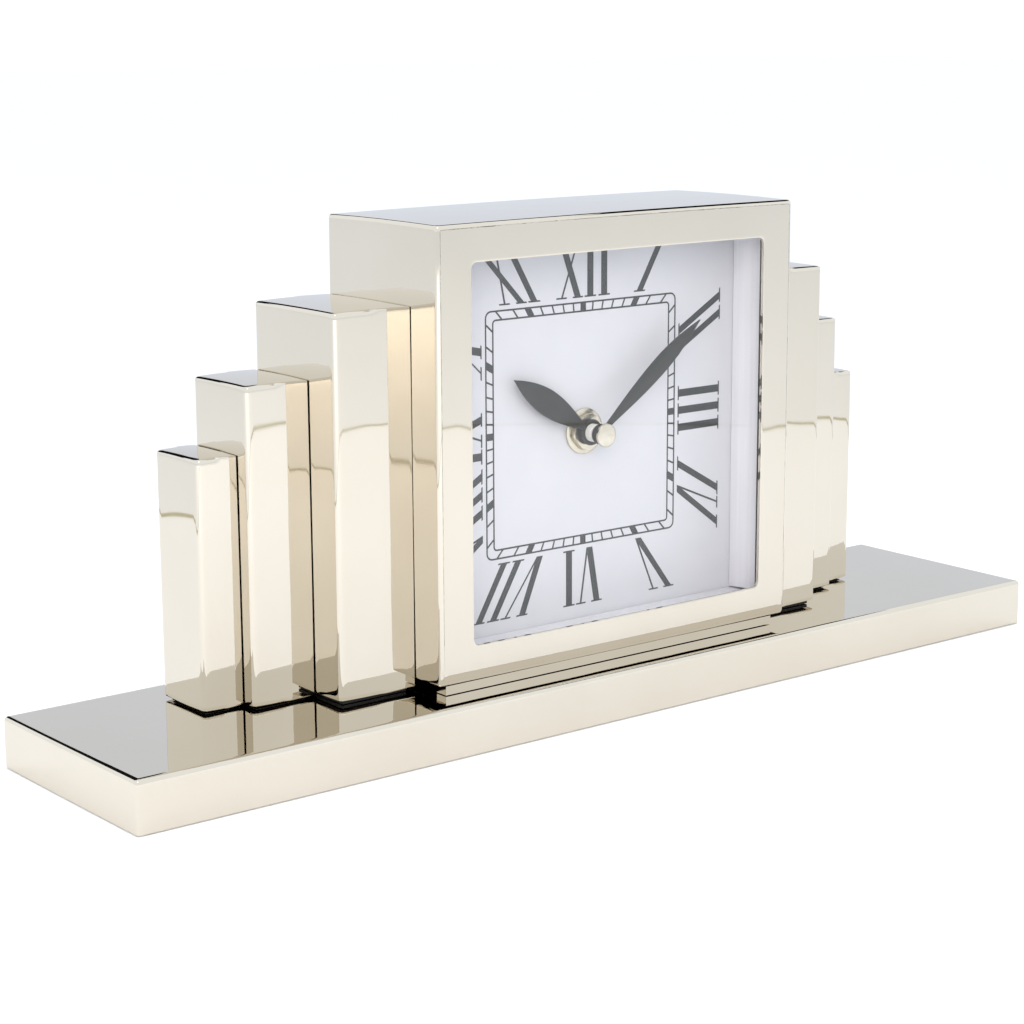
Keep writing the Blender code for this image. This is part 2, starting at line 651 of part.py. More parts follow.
def make_train():
    """From the rotor to the centre wheel, each arbor standing beside the one it meshes with."""
    third = beside((0.0, 0.0), centre_distance(CENTRE_TEETH, PINION_TEETH, TRAIN_MODULE), THIRD_SIDE)
    fourth = beside(third, centre_distance(THIRD_TEETH, PINION_TEETH, TRAIN_MODULE), FOURTH_SIDE)
    fifth = beside(fourth, centre_distance(FOURTH_TEETH, PINION_TEETH, TRAIN_MODULE), FIFTH_SIDE)
    rotor = beside(fifth, centre_distance(FIFTH_TEETH, PINION_TEETH, TRAIN_MODULE), ROTOR_SIDE)

    def tooth(side):
        return math.radians(side)

    def space(side, teeth):
        return math.radians(side) + math.pi / teeth

    centre_parent = arbor_empty("centre_wheel_axis", (0.0, 0.0))
    phase = space(THIRD_SIDE, CENTRE_TEETH)
    centre = gear(
        "centre_wheel", CENTRE_TEETH, TRAIN_MODULE, phase, CENTRE_DEPTH, BRASS, centre_parent
    )
    join(centre, rod("centre_hub", CENTRE_HUB_R, CENTRE_HUB, 16, parent=centre_parent))
    cut(centre, rod("centre_bore", ARBOR_R + GAP, (-8.0, -2.0), 16, parent=centre_parent))

    third_wheel = (THIRD_TEETH, space(FOURTH_SIDE, THIRD_TEETH), THIRD_DEPTH)
    third_pinion = (tooth(THIRD_SIDE + 180), THIRD_PINION)
    wheel_and_pinion("third_wheel", third, third_wheel, third_pinion, BRASS)
    fourth_wheel = (FOURTH_TEETH, space(FIFTH_SIDE, FOURTH_TEETH), FOURTH_DEPTH)
    fourth_pinion = (tooth(FOURTH_SIDE + 180), FOURTH_PINION)
    wheel_and_pinion("fourth_wheel", fourth, fourth_wheel, fourth_pinion, WHITE_PLASTIC)
    fifth_wheel = (FIFTH_TEETH, space(ROTOR_SIDE, FIFTH_TEETH), FIFTH_DEPTH)
    fifth_pinion = (tooth(FIFTH_SIDE + 180), FIFTH_PINION)
    wheel_and_pinion("fifth_wheel", fifth, fifth_wheel, fifth_pinion, WHITE_PLASTIC)

    rotor_parent = arbor_empty("rotor_axis", rotor)
    body = rod("rotor", TRAIN_ARBOR_R, ARBOR_ENDS, 10, look=STEEL, parent=rotor_parent)
    join(body, rod("rotor_magnet", MAGNET_R, MAGNET, 20, parent=rotor_parent))
    phase = tooth(ROTOR_SIDE + 180)
    pinion = gear("rotor_pinion", PINION_TEETH, TRAIN_MODULE, phase, ROTOR_PINION, parent=rotor_parent)
    join(body, pinion)
    return rotor


def make_motion_work(place):
    """The cannon pinion drives the minute wheel, whose own pinion drives the hour wheel."""
    arbor_parent = arbor_empty("minute_axis", (0.0, 0.0))
    arbor = rod("minute_arbor", ARBOR_R, (ARBOR_FRONT, 4.2), 20, look=STEEL, parent=arbor_parent)
    cannon_phase = math.radians(MOTION_SIDE)
    join(
        arbor,
        gear("cannon", CANNON_TEETH, MOTION_MODULE, cannon_phase, (-7.7, -6.3), parent=arbor_parent),
    )
    wheel_parent = arbor_empty("minute_wheel_axis", place)
    wheel = rod("minute_wheel", ARBOR_R, (-8.9, 8.7), 16, look=WHITE_PLASTIC, parent=wheel_parent)
    towards_axis = math.radians(MOTION_SIDE + 180)
    wheel_phase = towards_axis + math.pi / MINUTE_WHEEL_TEETH
    wheel_teeth = gear(
        "minute_wheel_teeth", MINUTE_WHEEL_TEETH, MOTION_MODULE, wheel_phase, (-7.5, -6.5),
        parent=wheel_parent,
    )
    pinion_teeth = gear(
        "motion_pinion", MOTION_PINION_TEETH, MOTION_MODULE, towards_axis, (-9.1 + GAP, -7.6),
        parent=wheel_parent,
    )
    join(wheel, wheel_teeth, pinion_teeth)
    knob = rod("setting_knob", 5.0, (COVER[1] + GAP, 10.6), 24, look=BLACK_PLASTIC, parent=wheel_parent)
    cut(knob, rod("knob_bore", ARBOR_R + GAP, (COVER[1] - 1.0, 9.0), 16, parent=wheel_parent))

    hour_parent = arbor_empty("hour_axis", (0.0, 0.0))
    hour_phase = math.radians(MOTION_SIDE) + math.pi / HOUR_WHEEL_TEETH
    hour = gear(
        "hour_wheel", HOUR_WHEEL_TEETH, MOTION_MODULE, hour_phase, (-8.8, -8.1), WHITE_PLASTIC,
        hour_parent,
    )
    join(hour, rod("hour_tube", HOUR_TUBE_R, (HOUR_TUBE_FRONT, -8.4), 20, parent=hour_parent))
    cut(hour, rod("hour_bore", HOUR_TUBE_BORE, (HOUR_TUBE_FRONT - 2, -6.0), 20, parent=hour_parent))


def make_dial_hardware(axis):
    rubber = rod("movement_gasket", GASKET_RING_R, GASKET_RING, 24, look=BLACK_RUBBER, parent=axis)
    washer = rod("dial_washer", WASHER_R, WASHER, 32, look=BRASS, parent=axis)
    corner_r = NUT_FLATS / 2 / math.cos(math.pi / 6)
    nut = prism("hex_nut", circle(corner_r, 6, turn=NUT_TURN), NUT, BRASS, axis)
    for ring, depth in ((rubber, GASKET_RING), (washer, WASHER), (nut, NUT)):
        through = (depth[0] - 2.0, depth[1] + 2.0)
        cut(ring, rod(ring.name + "_hole", BUSH_R + GAP, through, 24, parent=axis))


# ---- hands ------------------------------------------------------------------------------------

def leaf(length, start, widest_at, half_width, sharpness):
    """A leaf-shaped blade along +Z, drawn anticlockwise from its root: it swells and tapers."""
    steps = 10
    right = []
    for step in range(steps + 1):
        z = start + (length - start) * step / steps
        if z < widest_at:
            share = (z - start) / (widest_at - start)
            width = 1.1 + (half_width - 1.1) * math.sin(share * math.pi / 2) ** 1.2
        else:
            share = (z - widest_at) / (length - widest_at)
            width = half_width * (1 - share**sharpness)
        right.append((max(width, 0.15), z))
    left = [(-x, z) for x, z in reversed(right)]
    return right + left


def make_hand(name, angle, outline, depth, hub_r, bore_r, collet=None):
    parent = arbor_empty(name + "_axis", (0.0, 0.0))
    hand = rod(name, hub_r, depth, 28, look=BLACK_METAL, parent=parent)
    inner = (depth[0] + 0.1, depth[1] - 0.1)
    join(hand, prism(name + "_blade", outline, inner, None, parent))
    if collet:
        radius, front = collet
        join(hand, rod(name + "_collet", radius, (front, depth[1] - 0.2), 28, parent=parent))
    cut(hand, rod(name + "_bore", bore_r, (depth[0] - 6.0, depth[1] + 2.0), 24, parent=parent))
    parent.rotation_euler.y = math.radians(angle)


def make_hands():
    hour = leaf(47.7, 4.5, 27.0, 5.4, 1.9)
    make_hand(
        "hour_hand", HOUR_ANGLE, hour, HOUR_BLADE, HOUR_HUB_R, HOUR_TUBE_R + GAP,
        (HOUR_COLLET_R, HOUR_COLLET_FRONT),
    )
    minute = leaf(69.1, 3.5, 42.0, 3.9, 1.8)
    make_hand("minute_hand", MINUTE_ANGLE, minute, MINUTE_BLADE, MINUTE_HUB_R, ARBOR_R + GAP)
    parent = arbor_empty("cap_axis", (0.0, 0.0))
    cap = rod("cap_nut", CAP_R, CAP, 28, look=NICKEL, parent=parent)
    join(cap, rod("cap_neck", CAP_NECK_R, (CAP[0] + 0.5, MINUTE_BLADE[0] - GAP), 24, parent=parent))
    cut(cap, rod("cap_bore", ARBOR_R + GAP, (CAP[0] + 1.0, MINUTE_BLADE[0] + 1.0), 20, parent=parent))


def main():
    shell = make_base()
    make_case(shell)
    for side_name, side in (("left", -1), ("right", 1)):
        near = CASE_X / 2
        for spec in COLUMNS:
            near = make_column(side_name, side, shell, near, spec)
    make_back_cover()
    make_glazing()
    make_liners()
    make_dial()
    axis = empty("movement_axis", (0.0, 0.0, AXIS_Z))
    knob_distance = centre_distance(CANNON_TEETH, MINUTE_WHEEL_TEETH, MOTION_MODULE)
    knob_place = beside((0.0, 0.0), knob_distance, MOTION_SIDE)
    rotor_place = make_train()
    make_housing(axis)
    make_movement_cover(axis, knob_place)
    make_cell(axis)
    make_board(axis)
    make_motor(axis, rotor_place)
    make_motion_work(knob_place)
    make_dial_hardware(axis)
    make_hands()


main()
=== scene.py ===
"""The finished look of a stepped mantel clock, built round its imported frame.

All lengths in this file are millimetres until a mesh is made; MM turns them into metres.
"""

import json
import math

import bmesh
import bpy
from mathutils import Euler, Matrix, Vector


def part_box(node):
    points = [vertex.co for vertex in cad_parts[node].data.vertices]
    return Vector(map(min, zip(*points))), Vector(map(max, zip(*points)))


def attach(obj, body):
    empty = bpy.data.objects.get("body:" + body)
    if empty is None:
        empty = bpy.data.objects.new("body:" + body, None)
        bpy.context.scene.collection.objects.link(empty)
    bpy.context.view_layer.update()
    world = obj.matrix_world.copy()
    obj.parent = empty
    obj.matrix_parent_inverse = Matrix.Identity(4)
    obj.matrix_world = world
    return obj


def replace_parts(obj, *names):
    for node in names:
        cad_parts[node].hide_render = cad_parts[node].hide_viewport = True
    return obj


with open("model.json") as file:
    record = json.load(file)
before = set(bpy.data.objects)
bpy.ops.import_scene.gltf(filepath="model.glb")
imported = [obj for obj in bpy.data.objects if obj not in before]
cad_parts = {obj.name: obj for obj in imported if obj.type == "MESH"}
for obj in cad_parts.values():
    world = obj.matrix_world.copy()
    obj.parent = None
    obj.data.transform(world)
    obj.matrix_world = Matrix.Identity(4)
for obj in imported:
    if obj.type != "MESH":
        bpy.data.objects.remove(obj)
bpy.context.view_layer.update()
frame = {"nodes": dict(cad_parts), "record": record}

MM = 0.001
SCENE = bpy.context.scene
ROOT = "frame"


# ---- sizes read from the frame ------------------------------------------------------------------

def node_box(name):
    """A node's lowest and highest corner, in millimetres."""
    low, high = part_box(name)
    return [v / MM for v in low], [v / MM for v in high]


def middle_and_half(low, high):
    """A box's middle and half its size, along each axis."""
    return [(l + h) / 2 for l, h in zip(low, high)], [(h - l) / 2 for l, h in zip(low, high)]


def joint_point(name):
    for joint in frame["record"]["behaviour"]["joints"]:
        if joint["name"] == name:
            return [v / MM for v in joint["pos_m"]]
    raise ValueError(name)


AXIS_X, _, AXIS_Z = joint_point("minute_hand_turn")
KNOB_X, _, KNOB_Z = joint_point("setting_knob_turn")


# ---- materials ----------------------------------------------------------------------------------

def linear(hex_text):
    """An sRGB hex colour as linear red, green, blue and alpha."""
    parts = [int(hex_text[start:start + 2], 16) / 255 for start in (1, 3, 5)]
    return (*[p / 12.92 if p <= 0.04045 else ((p + 0.055) / 1.055) ** 2.4 for p in parts], 1.0)


def grain(size_mm):
    """The noise scale whose grains are about this size."""
    return 1.0 / (size_mm * MM)


def add(tree, kind, settings=None, links=None):
    """Adds a node; settings name its properties or its input sockets, links feed its inputs."""
    node = tree.nodes.new(kind)
    for key, value in (settings or {}).items():
        if isinstance(key, str) and hasattr(node, key):
            setattr(node, key, value)
        else:
            node.inputs[key].default_value = value
    for key, source in (links or {}).items():
        tree.links.new(source, node.inputs[key])
    return node


def new_material(name, hex_text, roughness, metallic=0.0, **sockets):
    material = bpy.data.materials.new(name)
    material.use_nodes = True
    tree = material.node_tree
    shader = tree.nodes["Principled BSDF"]
    shader.inputs["Base Color"].default_value = linear(hex_text)
    shader.inputs["Roughness"].default_value = roughness
    shader.inputs["Metallic"].default_value = metallic
    for key, value in sockets.items():
        shader.inputs[key.replace("_", " ")].default_value = value
    return material, tree, shader


def object_place(tree, stretch=(1.0, 1.0, 1.0)):
    """Object coordinates, with each axis stretched before a pattern reads it."""
    source = add(tree, "ShaderNodeTexCoord").outputs["Object"]
    return add(tree, "ShaderNodeMapping", {"Scale": stretch}, {"Vector": source}).outputs[0]


def vary_colour(tree, shader, first, second, factor):
    mix = add(tree, "ShaderNodeMix", {"data_type": "RGBA"}, {"Factor": factor})
    # The colour sockets of a Mix node share their names with its float ones.
    colour_in = [s for s in mix.inputs if s.type == "RGBA"]
    colour_in[0].default_value = linear(first)
    colour_in[1].default_value = linear(second)
    colour_out = [s for s in mix.outputs if s.type == "RGBA"][0]
    tree.links.new(colour_out, shader.inputs["Base Color"])


def vary_roughness(tree, shader, low, high, factor):
    span = add(tree, "ShaderNodeMapRange", {"To Min": low, "To Max": high}, {"Value": factor})
    tree.links.new(span.outputs["Result"], shader.inputs["Roughness"])


def raise_surface(tree, shader, height, depth_mm, under=None):
    links = {"Height": height}
    if under:
        links["Normal"] = under
    bump = add(tree, "ShaderNodeBump", {"Strength": 1.0, "Distance": depth_mm * MM}, links)
    tree.links.new(bump.outputs["Normal"], shader.inputs["Normal"])
    return bump.outputs["Normal"]


def noise(tree, place, size_mm, detail=2.0, roughness=0.5):
    settings = {"Scale": grain(size_mm), "Detail": detail, "Roughness": roughness}
    return add(tree, "ShaderNodeTexNoise", settings, {"Vector": place}).outputs["Fac"]


def polished_nickel():
    """Bright nickel plate, buffed to a mirror: warm white, with the slow ripple of hand polishing,
    hairlines from the mop and faint wiped patches that only show in the reflections."""
    material, tree, shader = new_material("polished_nickel_plate", "#D9D2C5", 0.02, 1.0)
    place = object_place(tree)
    tint = noise(tree, place, 60.0, 3.0)
    vary_colour(tree, shader, "#DCD5C9", "#D3CBBC", tint)
    wiped = noise(tree, place, 22.0, 4.0, 0.6)
    vary_roughness(tree, shader, 0.012, 0.045, wiped)
    ripple = noise(tree, place, 30.0, 1.0)
    slow = raise_surface(tree, shader, ripple, 0.13)
    hairs = noise(tree, object_place(tree, (1.0, 1.0, 0.03)), 0.35, 2.0)
    raise_surface(tree, shader, hairs, 0.00012, slow)
    return material


def mottled(name, colours, roughness, depth_mm, sizes, details=(3.0, 2.0, 2.0), metallic=0.0):
    """A finish whose colour, roughness and height vary in patches of these three sizes."""
    material, tree, shader = new_material(name, colours[0], roughness[0], metallic)
    place = object_place(tree)
    patches = [noise(tree, place, size, detail) for size, detail in zip(sizes, details)]
    vary_colour(tree, shader, *colours, patches[0])
    vary_roughness(tree, shader, *roughness, patches[1])
    if depth_mm:
        raise_surface(tree, shader, patches[2], depth_mm)
    return material


def liner_card():
    """Laminated white board, cut in strips: its film carries faint streaks along the cut."""
    material, tree, shader = new_material("laminated_white_board", "#DCDCE2", 0.3)
    streaks = noise(tree, object_place(tree, (1.0, 1.0, 0.02)), 1.6, 3.0, 0.6)
    vary_colour(tree, shader, "#EFEEF1", "#DDDCE2", streaks)
    vary_roughness(tree, shader, 0.45, 0.6, streaks)
    raise_surface(tree, shader, streaks, 0.008)
    return material


def turned_metal(name, hex_text, low, high):
    """Small turned pieces: fine turning marks that widen the highlights."""
    sizes = (3.0, 0.8, 0.15)
    return mottled(name, (hex_text, "#C9BFA9"), (low, high), 0.002, sizes, (2.0, 3.0, 2.0), 1.0)


def moulded(name, dark, light, low, high, spark_mm, depth_mm):
    """Rubber or plastic with the texture of its mould, finer the smaller its sparks."""
    sizes = (12.0, 5.0, spark_mm)
    return mottled(name, (dark, light), (low, high), depth_mm, sizes, (4.0, 2.0, 2.0))


# The share of light that glass mirrors face on, on the pane as a whole, and how fast it rises.
GLASS_FACE_ON = 0.035
SCHLICK_POWER = 5.0


def clear_glass():
    """Float glass, 2.7 mm: it shows only as a faint mirror, stronger at a flat angle."""
    material, tree, shader = new_material("clear_float_glass", "#FFFFFF", 0.004, 1.0)
    # Schlick's rule, from a facing value that is the same on both sides of the pane.
    facing = add(tree, "ShaderNodeLayerWeight", {"Blend": 0.5}).outputs["Facing"]
    rise = add(tree, "ShaderNodeMath", {"operation": "POWER", 1: SCHLICK_POWER}, {0: facing})
    settings = {"To Min": GLASS_FACE_ON, "To Max": 1.0}
    mirror = add(tree, "ShaderNodeMapRange", settings, {"Value": rise.outputs[0]})
    tree.links.new(mirror.outputs["Result"], shader.inputs["Alpha"])
    smears = noise(tree, object_place(tree), 26.0, 3.0)
    vary_roughness(tree, shader, 0.0, 0.03, smears)
    return material


def felt():
    """Pressed wool felt: matt black with loose fibres that catch the light."""
    material, tree, shader = new_material("pressed_wool_felt", "#1E1E21", 0.95, 0.0, Sheen_Weight=0.4)
    place = object_place(tree)
    fibres = noise(tree, place, 0.7, 6.0, 0.7)
    vary_colour(tree, shader, "#17171A", "#2C2C30", fibres)
    raise_surface(tree, shader, fibres, 0.25)
    return material


def copper_winding():
    """Enamelled wire, 0.15 mm but drawn at 0.5 mm so that the turns show."""
    material, tree, shader = new_material("enamelled_copper_wire", "#A5562B", 0.3, 0.8)
    place = object_place(tree)
    settings = {"Scale": grain(3.1), "wave_type": "BANDS", "bands_direction": "X"}
    turns = add(tree, "ShaderNodeTexWave", settings, {"Vector": place}).outputs["Fac"]
    # The colour bands follow the bump: each turn's light band is a painted highlight on the wire's
    # crown, and its dark band painted shade in the groove between turns.
    vary_colour(tree, shader, "#7C3C1B", "#B9673A", turns)
    raise_surface(tree, shader, turns, 0.08)
    return material


NICKEL = polished_nickel()
# Cool white and smooth, with the faint mottle of print stock.
DIAL_CARD = mottled(
    "white_coated_board", ("#C7C7CC", "#C1C2C8"), (0.42, 0.58), 0.01, (9.0, 2.0, 0.6)
)
LINER_CARD = liner_card()
# Offset ink: a soft neutral black that lets a little of the board through.
INK = mottled("printed_black_ink", ("#191B1C", "#262A2B"), (0.38, 0.55), 0.0, (0.8, 3.0))
# Semi-gloss lacquer: dark olive-black with a little orange peel.
HAND_BLACK = mottled(
    "lacquered_stamped_brass", ("#10110E", "#191A16"), (0.4, 0.5), 0.006, (4.0, 1.5, 0.5)
)
CAP_NICKEL = turned_metal("turned_nickel_cap", "#E2DCD0", 0.12, 0.2)
HARDWARE = turned_metal("nickel_washed_brass", "#DAD3C2", 0.18, 0.32)
BRASS = turned_metal("plain_sheet_brass", "#D3B169", 0.22, 0.36)
GLASS = clear_glass()
# Rubber is matt; the cover's lacquer has a satin sheen; ABS takes the grain of its mould.
RUBBER = moulded("moulded_black_rubber", "#121212", "#1B1B1C", 0.55, 0.8, 0.8, 0.02)
COVER_LACQUER = moulded("satin_black_lacquer", "#16171A", "#1E1F22", 0.3, 0.45, 1.1, 0.015)
BLACK_ABS = moulded("spark_eroded_black_abs", "#18191A", "#222324", 0.42, 0.6, 0.5, 0.03)
# Acetal is waxy and smooth; the cell's film is glossy and a little wrinkled; the mask is even.
WHITE_ACETAL = moulded("moulded_white_acetal", "#DEDCD4", "#E9E8E2", 0.3, 0.45, 1.5, 0.008)
CELL_FILM = moulded("shrunk_cell_film", "#3A4650", "#44525D", 0.18, 0.3, 6.0, 0.02)
LAMINATE = moulded("green_solder_mask", "#1F5B36", "#2A6B41", 0.3, 0.5, 0.9, 0.01)
# Grey-white, with cloudy patches of zinc.
STEEL = mottled(
    "zinc_plated_steel", ("#C2C2BF", "#A5A6A6"), (0.22, 0.42), 0.004, (2.5, 1.5, 0.3),
    (4.0, 3.0, 2.0), 1.0,
)
FELT = felt()
COPPER = copper_winding()


# ---- mesh helpers -------------------------------------------------------------------------------

def mesh_object(name, bm, material, body, smooth=40.0):
    mesh = bpy.data.meshes.new(name)
    bmesh.ops.remove_doubles(bm, verts=bm.verts, dist=1e-7)
    bmesh.ops.recalc_face_normals(bm, faces=bm.faces)
    bm.to_mesh(mesh)
    bm.free()
    mesh.materials.append(material)
    if smooth:
        mesh.shade_smooth()
        mesh.set_sharp_from_angle(angle=math.radians(smooth))
    obj = bpy.data.objects.new(name, mesh)
    SCENE.collection.objects.link(obj)
    return place_piece(obj, body)


def place_piece(obj, body):
    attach(obj, body)
    return obj


def loft(bm, rings, closed=False):
    """Joins equal rings of points with quads; a ring of one point closes an end."""
    made = [[bm.verts.new([c * MM for c in point]) for point in ring] for ring in rings]
    pairs = list(zip(made, made[1:]))
    if closed:
        pairs.append((made[-1], made[0]))
    for first, second in pairs:
        count = max(len(first), len(second))
        for i in range(count):
            j = (i + 1) % count
            corners = [first[i % len(first)], first[j % len(first)]]
            corners += [second[j % len(second)], second[i % len(second)]]
            corners = list(dict.fromkeys(corners))
            if len(corners) > 2:
                bm.faces.new(corners)


CORNER_STEPS = 6
SIDE_STEPS = 16


def rounded_rectangle(half_a, half_b, radius):
    """Points of a rectangle with round corners, closer together near its corners."""
    inner_a = half_a - radius
    inner_b = half_b - radius
    points = []
    for quarter in range(4):
        turn = math.pi / 2 * quarter
        across, along = (inner_a, inner_b) if quarter % 2 == 0 else (inner_b, inner_a)
        for step in range(1, SIDE_STEPS):
            share = math.sin(math.pi / 2 * (2 * step / SIDE_STEPS - 1))
            points.append(rotate((across + radius, share * along), turn))
        for step in range(CORNER_STEPS + 1):
            angle = math.pi / 2 * step / CORNER_STEPS
            corner = (across + radius * math.cos(angle), along + radius * math.sin(angle))
            points.append(rotate(corner, turn))
    return points


def rotate(point, turn):
    a, b = point
    return (a * math.cos(turn) - b * math.sin(turn), a * math.sin(turn) + b * math.cos(turn))


def prism(bm, outline, front, back):
    """A closed slab with an (x, z) outline, from depth front to depth back."""
    loft(bm, [[(x, front, z) for x, z in outline], [(x, back, z) for x, z in outline]])
    bm.verts.ensure_lookup_table()
    count = len(outline)
    new = bm.verts[-2 * count:]
    bm.faces.new(new[:count])
    bm.faces.new(new[count:])


def turned(name, profile, material, body, centre=(AXIS_X, AXIS_Z), sides=64):
    """A (radius, depth) profile turned about an axis along Y; it closes on itself or on the axis."""
    rings = []
    for radius, depth in profile:
        if radius == 0:
            rings.append([(centre[0], depth, centre[1])])
            continue
        angles = [math.tau * i / sides for i in range(sides)]
        rings.append([
            (centre[0] + radius * math.cos(a), depth, centre[1] + radius * math.sin(a)) for a in angles
        ])
    bm = bmesh.new()
    loft(bm, rings, closed=profile[0][0] != 0)
    return mesh_object(name, bm, material, body)


def crown(obj, low, high, bulge):
    """Pulls a block's edges in, so that each face is a little higher in its middle; it never grows."""
    centre, half = middle_and_half(low, high)
    for vertex in obj.data.vertices:
        place = [c / MM for c in vertex.co]
        share = [(p - c) / h for p, c, h in zip(place, centre, half)]
        square = [min(abs(s), 1.0) ** 2 for s in share]
        for axis in range(3):
            others = sum(square) - square[axis]
            inward = bulge[axis] * others / 2
            place[axis] -= math.copysign(inward, share[axis]) * abs(share[axis])
        vertex.co = [p * MM for p in place]


# ---- Geometry Nodes -----------------------------------------------------------------------------

def new_tree(name, inputs):
    """A geometry tree with named inputs: (name, socket type, default)."""
    tree = bpy.data.node_groups.new(name, "GeometryNodeTree")
    tree.interface.new_socket("Geometry", in_out="OUTPUT", socket_type="NodeSocketGeometry")
    for label, kind, default in inputs:
        socket = tree.interface.new_socket(label, in_out="INPUT", socket_type="NodeSocket" + kind)
        if default is not None:
            socket.default_value = default
    return tree, tree.nodes.new("NodeGroupInput").outputs


def vector_math(tree, operation, *values):
    node = add(tree, "ShaderNodeVectorMath", {"operation": operation})
    return fill(tree, node, values)


def maths(tree, operation, *values):
    node = add(tree, "ShaderNodeMath", {"operation": operation})
    return fill(tree, node, values)


def fill(tree, node, values):
    """Feeds a maths node: numbers are set on its sockets and sockets are linked."""
    for index, value in enumerate(values):
        if isinstance(value, bpy.types.NodeSocket):
            tree.links.new(value, node.inputs[index])
        else:
            node.inputs[index].default_value = value
    scalar = node.operation == "DOT_PRODUCT" or "Vector" not in node.outputs
    return node.outputs["Value" if scalar else "Vector"]


def end_tree(tree, geometry, material_socket):
    realised = add(tree, "GeometryNodeRealizeInstances", {}, {"Geometry": geometry}).outputs[0]
    links = {"Geometry": realised, "Material": material_socket}
    finished = add(tree, "GeometryNodeSetMaterial", {}, links).outputs[0]
    tree.links.new(finished, tree.nodes.new("NodeGroupOutput").inputs[0])


def grow(name, tree, values, body, smooth=40.0):
    """Runs a geometry tree on its own and keeps the result as a plain mesh."""
    holder = bpy.data.objects.new(name + "_holder", bpy.data.meshes.new(name + "_holder"))
    SCENE.collection.objects.link(holder)
    modifier = holder.modifiers.new(tree.name, "NODES")
    modifier.node_group = tree
    for item in tree.interface.items_tree:
        if item.in_out == "INPUT" and item.name in values:
            modifier[item.identifier] = values[item.name]
    evaluated = holder.evaluated_get(bpy.context.evaluated_depsgraph_get())
    mesh = bpy.data.meshes.new_from_object(evaluated)
    bpy.data.objects.remove(holder, do_unlink=True)
    bm = bmesh.new()
    bm.from_mesh(mesh)
    for face in bm.faces:
        face.material_index = 0
    bpy.data.meshes.remove(mesh)
    return mesh_object(name, bm, values["Material"], body, smooth)


BLOCK_CELLS = 24
LEDGE = 1.5


def polished_block_tree():
    """A block with round edges and crowned faces. Its cells are spread so that three span each
    quarter of a round edge and one narrow one keeps the flat beside it flat."""
    tree, given = new_tree("polished_block", (
        ("Centre", "Vector", None), ("Half size", "Vector", None), ("Edge radius", "Vector", None),
        ("Bottom radius", "Float", None), ("Sharp side", "Float", 1.0),
        ("Sharp radius", "Float", None), ("Crown", "Vector", None), ("Material", "Material", None),
    ))
    settings = {"Size": (2.0, 2.0, 2.0)}
    settings.update({"Vertices " + axis: BLOCK_CELLS + 1 for axis in "XYZ"})
    cube = add(tree, "GeometryNodeMeshCube", settings).outputs["Mesh"]
    place = add(tree, "GeometryNodeInputPosition").outputs[0]
    sign = vector_math(tree, "SIGN", place)
    size = vector_math(tree, "ABSOLUTE", place)
    parts = add(tree, "ShaderNodeSeparateXYZ", {}, {0: place}).outputs
    low_part = maths(tree, "LESS_THAN", parts[2], 0.0)
    edge = add(tree, "ShaderNodeSeparateXYZ", {}, {0: given["Edge radius"]}).outputs
    links = {"Factor": low_part, "A": edge[2], "B": given["Bottom radius"]}
    upright = add(tree, "ShaderNodeMix", {}, links).outputs[0]
    facing = maths(tree, "MULTIPLY", parts[0], given["Sharp side"])
    is_sharp = maths(tree, "GREATER_THAN", facing, 0.01)
    links = {"Factor": is_sharp, "A": edge[0], "B": given["Sharp radius"]}
    round_edge = add(tree, "ShaderNodeMix", {}, links).outputs[0]
    links = {0: round_edge, 1: round_edge, 2: upright}
    radius = add(tree, "ShaderNodeCombineXYZ", {}, links).outputs[0]
    flat = vector_math(tree, "SUBTRACT", given["Half size"], radius)
    ledge = (LEDGE * MM,) * 3
    wide = vector_math(tree, "SUBTRACT", flat, ledge)
    # Of the 12 cells from the middle to a side, 8 span the face, 1 the ledge and 3 the edge.
    half_cells = BLOCK_CELLS / 2
    face_end = 8 / half_cells
    ledge_end = 9 / half_cells
    spans = ((0.0, face_end, wide), (face_end, ledge_end, ledge), (ledge_end, 1.0, radius))
    spread = (0.0, 0.0, 0.0)
    for start, end, width in spans:
        node = add(tree, "ShaderNodeMapRange", {"data_type": "FLOAT_VECTOR", "clamp": True})
        sockets = [s for s in node.inputs if s.type == "VECTOR"]
        tree.links.new(size, sockets[0])
        sockets[1].default_value = (start,) * 3
        sockets[2].default_value = (end,) * 3
        sockets[3].default_value = (0.0,) * 3
        if isinstance(width, tuple):
            sockets[4].default_value = width
        else:
            tree.links.new(width, sockets[4])
        output = [s for s in node.outputs if s.type == "VECTOR"][0]
        spread = vector_math(tree, "ADD", output, spread)
    core = vector_math(tree, "MINIMUM", spread, flat)
    over = vector_math(tree, "DIVIDE", vector_math(tree, "SUBTRACT", spread, core), radius)
    rounded = vector_math(tree, "MULTIPLY", vector_math(tree, "NORMALIZE", over), radius)
    corner = vector_math(tree, "ADD", core, rounded)
    share = vector_math(tree, "DIVIDE", corner, given["Half size"])
    square = vector_math(tree, "MULTIPLY", share, share)
    total = vector_math(tree, "DOT_PRODUCT", square, (1.0, 1.0, 1.0))
    totals = add(tree, "ShaderNodeCombineXYZ", {}, {0: total, 1: total, 2: total}).outputs[0]
    others = vector_math(tree, "SUBTRACT", totals, square)
    slope = vector_math(tree, "MULTIPLY", others, share)
    inward = vector_math(tree, "MULTIPLY", slope, given["Crown"])
    signed = vector_math(tree, "MULTIPLY", vector_math(tree, "SUBTRACT", corner, inward), sign)
    moved = vector_math(tree, "ADD", signed, given["Centre"])
    shaped = add(tree, "GeometryNodeSetPosition", {}, {"Geometry": cube, "Position": moved}).outputs[0]
    end_tree(tree, shaped, given["Material"])
    return tree


